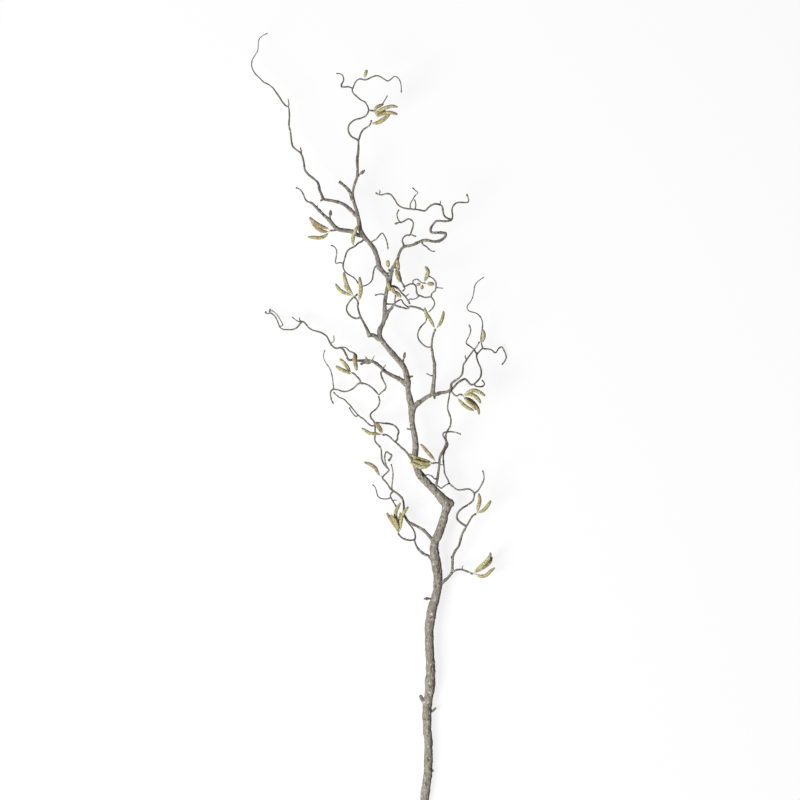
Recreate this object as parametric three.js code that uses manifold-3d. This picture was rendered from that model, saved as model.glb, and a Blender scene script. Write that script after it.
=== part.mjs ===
// A cut, contorted twig with catkins, lying on a flat surface.
// Millimetres. X across the twig, Y along it from the cut end to the tip, Z up from the surface.
// The wood is one grown piece and so one mesh. Each catkin and each fat bud is a mesh of its own.
import * as THREE from "three";
import { mergeVertices } from "three/addons/utils/BufferGeometryUtils.js";
import Module from "manifold-3d";

const wasm = await Module();
wasm.setup();

// Driving dimensions
const WEAVE_DEPTH = 2.2; // how far a side twig weaves up and down as it grows
const WEAVE_LENGTH = 38; // length of one such weave
const WEAVE_START = 20; // length over which the weave grows from nothing
const COLLAR_SWELL = 0.45; // extra share of radius where a twig leaves its parent
const COLLAR_REACH = 2.2; // how far the collar fades out, in radii
const TIP_SHARE = 0.55; // radius left at the rounded end of a twig
const WOOD_STEP = 9.7; // length of one tube step on thin twigs
const STEP_PER_RADIUS = 1.9; // on thick wood a step is this many radii
const CATKIN_SIDES = 6;
const CATKIN_STEPS = 6;
const CATKIN_PROFILE = [0.4, 0.82, 1, 1, 0.98, 0.86, 0.42]; // share of full radius, stalk end to tip
const BUD_PROFILE = [0.55, 0.95, 1, 0.8, 0.3];
const BUD_STEPS = 4;

// Colours and finishes
const BARK = { color: 0x978b7e, roughness: 0.9, metalness: 0 };
const CATKIN_GREEN = { color: 0xaca25c, roughness: 0.85, metalness: 0 };
const CATKIN_TAN = { color: 0xa98a56, roughness: 0.85, metalness: 0 };
const BUD_BROWN = { color: 0x7c6a54, roughness: 0.7, metalness: 0 };

// The main stem: x, y, height of its centre, radius.
const STEM = [
  [-1, 0, 6.7, 6.6],
  [-0.5, 16, 7.2, 6.5],
  [3, 40, 8, 6.5],
  [5.4, 70, 9.5, 6.5],
  [5.2, 100, 10.5, 6.3],
  [3.2, 130, 11, 6.6],
  [4, 158, 12.5, 7],
  [6, 170, 13.5, 6.6],
  [7.5, 181, 14.5, 7.4],
  [8.2, 195, 16, 8],
  [8.5, 206, 17, 7],
  [8.4, 222, 18, 6.9],
  [7, 245, 19.5, 6.5],
  [7.2, 275, 20, 6.8],
  [11, 300, 20, 7.5],
  [16.5, 320, 20, 6.6],
  [19.8, 345, 21, 6.7],
  [16.5, 370, 24, 7.4],
  [14, 390, 27, 6.8],
  [15, 402, 29, 6.3],
  [20, 413, 30, 6.5],
  [26.5, 430, 30, 6],
  [31, 448, 30.5, 6.2],
  [33.5, 458, 32, 7.8],
  [25, 468, 35, 6.8],
  [14, 480, 38, 6],
  [3, 491, 40, 6],
  [-6, 501, 41, 6],
  [-11.5, 511, 41, 5.5],
  [-15, 530, 39.5, 5],
  [-14, 545, 38.5, 4.8],
  [-15.5, 560, 39, 4.3],
  [-19.6, 582, 42, 4.2],
  [-20.2, 600, 45, 4.7],
  [-22, 613, 47, 4.9],
  [-25.2, 628, 48, 3.9],
  [-26.5, 645, 48, 4.8],
  [-29.5, 660, 48.5, 4.1],
  [-36, 670, 50, 4.3],
  [-44.5, 680, 52, 4.3],
  [-53.3, 690, 54, 3.9],
  [-61.5, 700, 55, 3.7],
  [-67.5, 709, 55, 3.9],
  [-67.8, 720, 54, 3.7],
  [-62.8, 730, 53, 3.1],
  [-60.5, 742, 54, 3.3],
  [-60.3, 758, 57, 2.8],
  [-58, 775, 60, 2.9],
  [-55, 790, 61, 3.1],
  [-56, 799, 61, 3.4],
  [-62, 806, 60, 3.6],
  [-68.5, 814, 59, 4],
  [-70, 822, 59, 3.8],
  [-72, 830, 60, 3.4],
  [-77, 842, 63, 3.5],
  [-84, 851, 65, 3.2],
  [-92, 860, 66, 3.6],
  [-97, 870, 65, 3.7],
  [-98.5, 880, 64, 3.2],
  [-100.4, 890, 65, 2.9],
  [-103, 900, 67, 2.6],
  [-106.8, 913, 68, 2.3],
  [-108.2, 925, 67, 1.9],
  [-106, 936, 67, 1.8],
  [-102, 948, 69, 2],
  [-101, 962, 71, 1.9],
  [-101.5, 975, 71, 2.3],
  [-100, 985, 70, 2.1],
  [-99.5, 1003, 71, 1.4],
];

// Every side twig: name, what it grows from, radii and then heights at even steps from its base to its
// tip, and its route seen from above as x,y points. The height at the base is that of its parent.
const TWIGS = [
  // lower right
  ["low_right", "stem", [2.5, 2.2, 2], [21, 22, 23], "22,336 28,342 35,348 41,356"],
  ["low_right_spur", "low_right", [1.6, 1.4, 1.2], [25, 27], "48,359.5 55,360 60,358.5 66,356 72,353.4"],
  [
    "low_right_rise",
    "low_right",
    [2.1, 1.9, 1.8, 1.9, 1.5, 1.3],
    [26, 30, 36, 40, 44],
    "41.5,372 42.3,380 45.4,388 51,396 53,403 56,414 61,423 67,434 71.5,441 77,444.5",
  ],
  [
    "low_right_weave",
    "low_right_rise",
    [1.6, 1.4, 1.3, 1.2],
    [43, 47, 51, 51],
    "54.6,430 49,435.5 47.7,440 50,447 55.4,452.3 64,457.7 71.5,464 73.8,471 74,475",
  ],
  [
    "low_right_tip",
    "low_right_weave",
    [1.2, 1.1, 0.9],
    [56, 61, 65],
    "79,479 83,485 86,491 88,496 88,503 86,510",
  ],
  [
    "right_climber",
    "low_right_weave",
    [1.2, 1.1, 1.1, 1.2, 1.3, 1.3, 1.2, 1],
    [47, 44, 42, 44, 46, 48, 48, 47],
    `69,480 65,481.6 56,480.5 48.5,480.5 43,484 37,489.5 34,496 29.5,505 28.7,514 27.5,524 27.8,533
     30,540 33.7,546 34,550 32,554 31,560 32,565 33.7,569 37.7,576 38.8,585 36.8,593 34,601 34,608
     35.5,616 36.5,622 37.5,629`,
  ],
  // the knee of the stem
  [
    "knee_twig",
    "stem",
    [2.1, 1.8, 2, 1.6, 1.3, 0.9],
    [44, 50, 55, 57, 58, 60],
    `16,486 18,493 19,500 20,507 21,515 21.5,522 22,528 24,533 27,539 30,545 31.5,551 30.5,556 28,560
     26.5,563 28,566 31.5,567 39,567.5 47.5,566 54,563.5`,
  ],
  ["knee_hook", "knee_twig", [1.1, 1.1, 0.9], [52, 55, 56], "14,497 10,501 5,503 0,502"],
  ["knee_link", "knee_twig", [1.1, 1, 0.9], [46, 49, 52], "21,485 24,482.5 29,486 33,488.5 36,490"],
  ["knee_stalk", "knee_twig", [1.3, 1.2], [55, 57], "17,521 11,520"],
  // lower left
  [
    "low_left",
    "stem",
    [2.4, 2, 1.6, 1.4, 1.2],
    [24, 23, 26, 28],
    "11,375 6,380 -2,384 -10,391 -14,398 -16,404 -22,404 -30,405.7 -36,409 -40.5,414.5",
  ],
  ["low_left_whip", "low_left", [1.5, 1.3, 1], [16, 11, 8], "-14.6,408 -15,414 -18,421 -22,426 -25,430"],
  [
    "left_shoot",
    "stem",
    [2.7, 2.3, 2, 2.1, 1.7, 1.6, 1.4],
    [27, 22, 18, 17, 20, 24],
    `13,403 5,412 -2,419 -10,424 -17,427.5 -25,432 -29,438 -31.5,443 -31.5,452 -32.3,461 -35,468
     -42,474.5 -50,480`,
  ],
  [
    "left_climber",
    "left_shoot",
    [1.4, 1.2, 1.2, 1.3, 1.2, 1.3, 1.4, 1.2, 1],
    [22, 18, 15, 13, 14, 18, 22, 26, 28],
    `-53,483 -56,488 -60,493 -64,498 -61,502 -57,506 -54,510 -59,515 -63,521 -65,527 -65.5,535 -66,541
     -69,546 -73,550 -75.5,555 -75,562 -75,570 -75,577 -77,583 -81,588 -82,593 -79,597 -74,601 -70,606
     -68,612 -69,618 -70,621`,
  ],
  ["left_whip", "left_shoot", [1.1, 1, 0.8], [30, 34, 36], "-49.5,488 -48.5,496 -48,504 -49,512 -51,519"],
  ["left_back", "left_shoot", [1.3, 1.2, 1.1], [18, 11, 8], "-52,472 -48.5,463 -43,454"],
  [
    "left_back_curl",
    "left_back",
    [1, 0.9, 0.8],
    [15, 18, 24, 30],
    "-55,466.5 -61,466 -67,467 -71,471 -73,478 -75,484 -79,488",
  ],
  [
    "left_ring",
    "left_climber",
    [1.1, 1.1, 1.4],
    [20, 26, 28, 25],
    "-55,511 -58,516 -60,523 -60.5,530 -59,536 -57,537 -53,534 -50,532 -52,527 -55,523",
  ],
  [
    "mid_left_spur",
    "stem",
    [2.2, 1.8, 1.5, 1.3, 1.2],
    [43, 47, 50, 52],
    "-16,519 -20,526 -25,533 -31,540 -37,545 -42,550 -46,553 -51,558 -56,562 -61,563 -64,562.3",
  ],
  [
    "mid_left_arc",
    "mid_left_spur",
    [1.5, 1.4, 1.3, 1.1],
    [42, 37, 34, 31],
    "-41.5,556 -41,562 -39.5,567 -41,571 -44,575 -49,578 -55,579.5 -62,580 -70,581 -74,581",
  ],
  [
    "far_left_low",
    "left_climber",
    [1.2, 1.1, 1, 0.9],
    [17, 14, 12, 10, 9],
    `-80,576 -86,580 -92,586 -98,590 -103,595 -108,601 -112,606 -117,611 -122,616 -129,619 -135,624
     -138,627`,
  ],
  ["far_left_fork", "far_left_low", [1, 0.9, 0.8], [16, 20], "-103,590 -108,594 -112,600 -114,604"],
  // middle left
  [
    "left_branch",
    "stem",
    [4.2, 3, 2.6, 2.3, 2.4, 2.2, 1.8, 1.6, 1.5, 1.4, 1.3, 1.2, 1.2, 1.3],
    [50, 53, 52, 48, 42, 36, 30, 24, 20],
    `-28,639 -37,645.5 -45,649.5 -52,653 -59,657 -63,661 -67,665 -72,669 -77,672 -84,674 -92,674 -99,674
     -108,675 -114,675 -116,677 -118,682 -121,688 -124,692 -127,693.5 -133,692.5 -138,695 -142,700
     -145,706 -148,711 -152,714 -158,717 -165,719 -170,720.5 -175,724 -179,729 -182,732 -186,733`,
  ],
  ["left_strand", "left_branch", [2, 2, 1.5], [47, 43, 40], "-83,671 -92,671 -97,668"],
  [
    "left_over",
    "left_branch",
    [1.3, 1.1, 1],
    [53, 56, 54, 50],
    "-103,682 -108,686 -113,688 -117,692 -121,694 -127,693.5",
  ],
  [
    "far_left_tip",
    "left_branch",
    [1.3, 1.1, 1, 0.9],
    [17, 13, 9, 6, 3.3, 2.2],
    `-189,728 -194,723 -200,721 -208,721 -214,721.5 -218,724 -221,731 -224,738 -228,743 -233,746
     -238,745 -241,748.5`,
  ],
  [
    "far_left_strand",
    "far_left_tip",
    [0.9, 0.7, 0.6],
    [15, 20],
    "-214,728 -217,734 -221,741 -225,746 -231,750",
  ],
  ["far_left_end", "left_branch", [1.1, 0.9, 0.7], [22, 26], "-190,733 -195,736 -200,740"],
  [
    "hanging",
    "left_branch",
    [1.4, 1.2, 1.1, 1.1, 1.2, 1.5, 1.2, 1.1, 1],
    [45, 40, 36, 30, 25, 21, 18],
    `-66,656 -65,650 -62,643 -59,637 -59,633 -62,629 -66,626 -69.5,623 -73,627 -78,632 -83,636 -89,639
     -95,640 -99,640 -103,637 -107,633 -112,630 -118,628 -124,628 -130,630 -135,631 -140,630.5`,
  ],
  ["hanging_foot", "hanging", [1.2, 1.1, 1], [12, 8], "-142,627 -142,621 -141,616"],
  [
    "hanging_whip",
    "hanging",
    [1, 0.9, 0.7, 0.6],
    [24, 34, 40, 44],
    "-138,638 -139,648 -141,657 -144,664 -149,671 -152,678 -152,684 -150,690",
  ],
  ["hanging_stalk", "hanging", [1.2, 1.3, 1.1], [34, 38], "-97,643 -100,648 -103,651 -106,654 -109.5,656"],
  // middle right
  [
    "right_branch",
    "stem",
    [4.3, 3.4, 2.9, 2.6, 2.2],
    [47, 51, 55, 58],
    "-20,597 -17,604 -12,609 -6,613 0,617.5 6,621 11,623.5 16,623 22,625.5 30,626.5 38,629",
  ],
  [
    "riser",
    "right_branch",
    [3.2, 2.8, 2.6, 2.3, 1.8, 1.4, 1.2],
    [60, 66, 72, 77, 80],
    "12,632 13,642 14,652 14,662 14,670 12,678 11,686 10,692 10,700 11,708 13,715 15.5,721",
  ],
  [
    "riser_loop",
    "riser",
    [1.3, 1.2, 1.1, 1],
    [69, 66, 64, 64],
    "4,694 -2,697 -7,702 -10,707 -11,713 -9,720 -5,726 0,731 2,736 1,742 0,746",
  ],
  ["right_stalk", "right_branch", [1.5, 1.2, 1.3], [60, 64], "40,627 43,623.5 47,621 52,623.5 56,622.3"],
  [
    "right_high",
    "right_branch",
    [1.9, 1.6, 1.5, 1.3, 1.2, 1.1, 1],
    [64, 72, 82, 90, 96],
    `39,636 40,640 45,644 51,648 55,653 56.5,660 57,667 60,672 64,678 69,685 73,690 77,695 81,702`,
  ],
  [
    "right_low",
    "right_branch",
    [1.7, 1.5, 1.4, 1.3, 1.2],
    [53, 47, 41, 35, 29],
    `43,634 48,640 54,644 60,646.5 64,643 69,638 73,638.5 76,641 80,645 83,649 84.5,655 84,662 81,669
     79,674 77.5,680 78,684`,
  ],
  ["right_hook", "right_low", [1.1, 1], [42, 47, 50], "76,636 80,635 85,635 89,638 88,642 85,645"],
  [
    "right_low_left",
    "right_low",
    [1.2, 1, 0.9],
    [34, 42, 48],
    "76,687 73.5,691 68,695.5 62,700 62,703 65,709 68,716 68.5,721",
  ],
  [
    "right_low_tip",
    "right_low",
    [1.2, 1.1, 1, 1, 0.9],
    [23, 16, 10, 6, 2.6, -0.7],
    `82,688 86,692 90,692 96,691.5 101,690 104,687 106.5,686 111,692.5 116,695 119,690 122,683 122.5,679
     120,673 116,668`,
  ],
  [
    "right_tall",
    "right_low_tip",
    [1, 1, 0.9, 0.8, 0.7],
    [30, 40, 48, 56, 60, 60],
    `85,700 84,708 85,715 86,722 86.5,729 85,736 82,741 77,745 70,747 65,749 63,752 64,757 68,762 71,768
     73,776 74,784 76,789 81,794 88,799`,
  ],
  // upper left
  [
    "upper_left",
    "stem",
    [3, 3.2, 2.4, 1.6, 1.5, 1.3],
    [58, 60, 64, 67, 69],
    `-68.5,706 -77,712 -83,712.5 -86,719 -89,725 -92,731 -95,736 -97,741 -99,747 -100.5,753 -100.5,758
     -99.8,761`,
  ],
  ["upper_left_stalk", "upper_left", [1.2, 1.1], [70, 72], "-103,766 -106,769"],
  [
    "upper_left_loop",
    "upper_left",
    [1.4, 1.2, 1.1],
    [57, 53, 53, 56],
    "-102,737 -108,738.5 -113,742 -116,746 -117.5,750 -117,756 -114,761 -110,766 -107,769 -104,771 -101,774",
  ],
  ["stem_hook", "stem", [1.1, 0.9], [64, 68], "-65,773.5 -70,773 -75,771.5"],
  [
    "knob_twig",
    "stem",
    [1.3, 1.1, 1, 0.9],
    [58, 56, 54, 52, 52],
    "-74,815 -77,808 -78,801 -79,796 -82,791 -86,788 -91,786 -95,785 -98,780",
  ],
  // the thicket in the middle of the crown
  [
    "inner_cross",
    "stem",
    [3, 2.5, 1.8, 1.4, 1.5, 1.6, 1.2],
    [56, 58, 58, 60, 60],
    "-60,737 -56,746 -50,753 -47,757 -40,755 -32,753 -26,752 -23,755 -15,754 -8,752 -3,749.5 0,748",
  ],
  ["inner_stalk", "inner_cross", [1.1, 1], [64, 69], "-45,766 -44,772"],
  [
    "inner_back",
    "stem",
    [1.2, 1.1, 1, 0.9],
    [53, 49, 48, 48],
    "-52,758.5 -47,759 -43,762 -38,765 -35,765 -33,761 -28,756 -24,754.5",
  ],
  [
    "inner_slant",
    "stem",
    [1.7, 1.5, 1.3, 1.1],
    [66, 71, 73, 70],
    "-52,786 -46,785 -40,781 -35,775 -30,770 -27,766 -24,761 -23,758",
  ],
  ["inner_slant_fork", "inner_slant", [1, 0.9], [77, 80], "-22,766 -18,765.5 -13,767 -9,771"],
  [
    "upper_right",
    "stem",
    [3.2, 2.7, 2.4, 2.2, 2.1, 2.1, 2.1, 2, 2, 1.9, 1.7, 1.5, 1.3],
    [68, 76, 83, 87, 89, 91, 93, 94],
    `-54.5,786 -52,797 -50,806 -49,812 -46,816 -44,820 -41,826 -39,833 -35,841 -30,844.5 -24,845
     -17,847 -10,850.5 -3,853.5 5,853 12,851.5 20,852 26,855 30,859 30.5,863.5 25,864.5 18,864.5
     11,864.5 8,867 9,872 12,877 16,881.5 22,882 30,881.5 36,882 40,884`,
  ],
  ["upper_right_stalk", "upper_right", [1.2, 1], [69, 73], "-53.5,808 -54,811"],
  [
    "inner_bow",
    "upper_right",
    [1.4, 1.3, 1.3, 1.2, 1.2, 1.1, 1.1, 1],
    [75, 80, 86, 89, 91, 93, 94],
    `-40,809 -37,799 -35,791 -30,785 -23,788 -17,788 -14,785 -13,779 -12,773 -9,771 -6,770 0,768 9,770
     10,774 15,778 16,783 16,790 12,796 5,800`,
  ],
  ["inner_bow_drop", "inner_bow", [1.1, 1, 0.9], [92, 93, 94], "13,763 14,758 11,752 5,746"],
  ["inner_bow_fork", "inner_bow", [1, 0.9], [76, 76], "-33,785 -30,782 -34,777"],
  ["inner_arch", "inner_bow", [1, 0.9, 0.8], [92, 96, 96], "-18,793 -12,795 -8,792 -5,790 1,789"],
  // upper right
  [
    "return_twig",
    "upper_right",
    [1.4, 1.3, 1.2, 1.1],
    [98, 103, 107, 110, 112, 114],
    `38,884 33,886 29,889 27,894 26,900 25,904 20,906.5 15,907 10,905.5 5,902 0,897 -12,898.5 -20,899
     -28,900 -34,901.5 -40,905 -44,911 -48,917 -52,921 -57,922 -62,921 -66,920 -70,921 -74,923.5`,
  ],
  [
    "return_fork",
    "return_twig",
    [1, 0.9, 0.8],
    [114, 118, 120],
    "-22,907 -18,914 -15,919 -11,923 -14,926 -19,930.5",
  ],
  ["return_leg", "return_twig", [1, 0.8], [106, 102], "-14,906 -16,914"],
  [
    "right_crown",
    "upper_right",
    [1.2, 1.1, 1],
    [88, 83, 80, 79],
    "41,890 40,897 41,903 45,908 50,910 57,910 64,910.5 65,914 64,918 62,922.5",
  ],
  [
    "side_curl",
    "upper_right",
    [1.4, 1.2, 1.1, 1.2],
    [85, 89, 92, 94],
    `-33,849 -34,854 -31,859 -27,861 -23,861 -20,868 -18,875 -18,880 -21,883.5 -25,885 -30,882.5
     -35,880 -38,879.7`,
  ],
  ["side_curl_up", "side_curl", [1, 0.8], [97, 99], "-39,882 -41,886 -42,892 -39,899"],
  ["side_curl_right", "side_curl", [1, 0.8], [88], "-18,860.5 -13,859"],
  ["crown_drop", "upper_right", [1.5, 1.2, 0.9, 0.8], [83, 79, 76], "-3,847 2,844 6,840 10,837.5 15,837"],
  // top
  [
    "top_arch",
    "stem",
    [1.1, 1, 0.9],
    [67, 71, 73, 71],
    "-78,853 -74,855 -70,859 -66,863.5 -64,864.5 -61,861 -58,854 -56,847",
  ],
  [
    "top_cross",
    "stem",
    [1.4, 1.2, 1.1, 1],
    [73, 78, 81, 84, 85, 86],
    `-95,852 -100,849.5 -104,845.5 -109,842.5 -113,840.5 -117,836 -119,830 -121.5,821 -122.5,815
     -121,809 -118,805 -112,801 -107,798 -103,794 -100,789`,
  ],
  [
    "top_cross_fork",
    "top_cross",
    [1, 0.9],
    [86, 90, 92],
    "-128,820 -133,819 -134,822 -133,827 -132,837 -134,842 -138,845 -141,845.5",
  ],
  [
    "top_left_low",
    "stem",
    [3, 2.8, 3.3, 2.8, 2.5, 2.1, 1.5, 1.1, 0.8],
    [67, 71, 76, 80, 84],
    `-98,861 -108,866.5 -115,868 -122,869 -130,870.5 -135,874 -140,880 -145,886 -150,890 -155,895 -160,900
     -163,903 -167,907 -171,910 -175,911 -179,915 -181,920 -184,926 -188,930 -193,932`,
  ],
  ["top_left_stalk", "top_left_low", [1.4, 1.2], [71, 73], "-134,868.7 -138,868.5 -142,868"],
  [
    "top_left",
    "stem",
    [2.7, 2.4, 2.2, 2.1, 1.8, 1.6, 1.5, 1.4, 1.3, 1.2, 1.2, 1.1, 1, 0.9, 0.8, 0.7, 0.6],
    [64, 60, 54, 48, 42, 38, 38, 42, 48, 52],
    `-103,891 -109,897.5 -116,903.5 -122,908 -130,911 -138,913 -146,914.5 -152,916 -155,923 -158,930 -159,936
     -161,941 -165,945 -170,949 -176,954 -180,960 -181.5,970 -184,980 -187,986 -193,990 -198,995
     -200,1001 -201,1009 -202,1018 -204,1026 -204,1033 -203.5,1040 -204,1050 -205,1055 -208,1056
     -213,1061 -218,1069 -223,1076 -228,1083 -234,1088 -242,1092 -249,1099 -255,1105 -259,1112
     -260,1118 -259,1125 -255,1132 -251,1139 -250,1147 -249.5,1153 -247,1158 -243,1161 -236,1165`,
  ],
  ["top_stump", "stem", [2.4, 2.4, 2.1, 1.8], [68, 70], "-108.5,915 -112.5,926 -118,933 -124,938 -129,942"],
  [
    "top_leader",
    "stem",
    [1.5, 1.3, 1.2, 1.1, 1],
    [73, 77, 81, 83, 82, 80],
    `-103,1005 -110,1009 -114,1015 -115,1020 -113,1027 -109,1031 -104,1034 -96,1036 -89,1039 -85,1045
     -84.5,1049 -86,1054 -90,1060 -96,1063 -102,1068 -107,1073 -109,1078 -107,1083`,
  ],
  [
    "top_leader_left",
    "top_leader",
    [1, 1.3, 1, 0.8],
    [78, 75, 72],
    "-115,1083 -121,1082.5 -125,1083 -125,1086 -122,1092 -122,1097 -124,1101 -128,1103 -133,1103",
  ],
  [
    "top_leader_right",
    "top_leader",
    [1, 1.1, 1, 0.9, 0.8],
    [82, 86, 88, 86, 82],
    `-105,1088 -101,1093 -96,1094.5 -91,1093 -86,1094 -82,1096 -77,1098 -72,1099 -66,1097 -60,1093
     -56,1091 -52,1093 -46,1098 -42,1097 -38,1092 -36,1085 -35.5,1074`,
  ],
  ["top_stalk", "top_leader", [1.2, 1.1], [84, 85], "-80,1047 -77.5,1046.5"],
  ["top_thin", "top_stalk", [0.9, 0.8, 0.7], [80, 78, 80], "-74,1050 -67,1053 -62,1060 -59,1065 -56,1070"],
  [
    "top_right",
    "stem",
    [1.4, 1.2, 1.1],
    [68, 66, 66],
    "-98,1008 -96,1014 -92,1020 -87,1023 -83,1026 -81,1030 -80,1034",
  ],
];

// Short dead stubs, knobs and leaf scars: parent, radii, rise above the parent, route.
const STUBS = [
  ["stem", [3, 2.6], 2, "-2,162 -7.5,171"],
  ["stem", [2, 1.6], 1, "10,146 17,152"],
  ["stem", [2.6, 1.6], 0, "9,56 13.5,57"],
  ["stem", [1.5, 1.5, 1.5, 2.5, 0.9], 2, "8,316 -2,316"],
  ["stem", [5.6, 4.8], 0, "36,459.5 44,460.5"],
  ["stem", [1.6, 1.2], 1, "-23,571 -27.5,572"],
  ["stem", [1.8, 1.4], 0, "-21,650 -18,651"],
  ["stem", [1.5, 1.2], 3, "-33,670 -32,675"],
  ["stem", [1.6, 1.3], 0, "-71,811.5 -72.5,811"],
  ["stem", [1.5, 1.2], 1, "-57,804 -53,806"],
  ["stem", [1.8, 1.6], 2, "-101,950 -98.5,951.5"],
  ["low_right_spur", [0.9, 0.7], 3, "56,363 57.5,366"],
  ["low_right_rise", [1.1, 0.8], 1, "40,376 39.5,381"],
  ["knee_twig", [0.8, 0.7], 1, "24,518 27,518"],
  ["left_back", [0.8, 0.6], -1, "-45,464.5 -42,463"],
  ["left_branch", [1, 0.7], 3, "-87,677 -90,680"],
  ["left_branch", [0.9, 0.7], 4, "-78,677 -76,681"],
  ["left_branch", [1.1, 0.8], 3, "-61,665 -59,668"],
  ["left_branch", [0.9, 0.7], 5, "-137,703 -137,712"],
  ["left_branch", [1, 0.8], 3, "-188.5,735.5 -189,739.5"],
  ["far_left_tip", [1.3, 1.1], 3, "-234,749 -233,752.5"],
  ["right_branch", [1.9, 1.4], 3, "14,619 15,616.5"],
  ["riser", [1.3, 1], 2, "8,651.5 5,653 2,655"],
  ["right_high", [0.9, 0.7], 3, "60,678 60,682"],
  ["upper_left", [2.3, 1.8], 0, "-84,711 -86,709.5"],
  ["top_left_low", [1.3, 1.1], 2, "-142,886 -141.7,889"],
  ["top_left_low", [0.8, 0.7], 1, "-161,903 -161,906"],
  ["top_left", [1.6, 1.2], 0, "-154,915 -157,912.5"],
  ["top_left", [1.4, 0.8], 2, "-185.5,986 -187,994"],
  ["top_left", [1.2, 0.7], 3, "-204.4,1058 -205.5,1067"],
  ["inner_bow", [0.9, 0.7], 2, "19,782.5 27,781.5"],
  ["inner_slant", [0.8, 0.6], 3, "-27,771.5 -24,774"],
  ["return_twig", [1.1, 0.9], 2, "-67,925 -69,927"],
  ["return_twig", [0.8, 0.7], 1, "23,909 22,912"],
];

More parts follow.
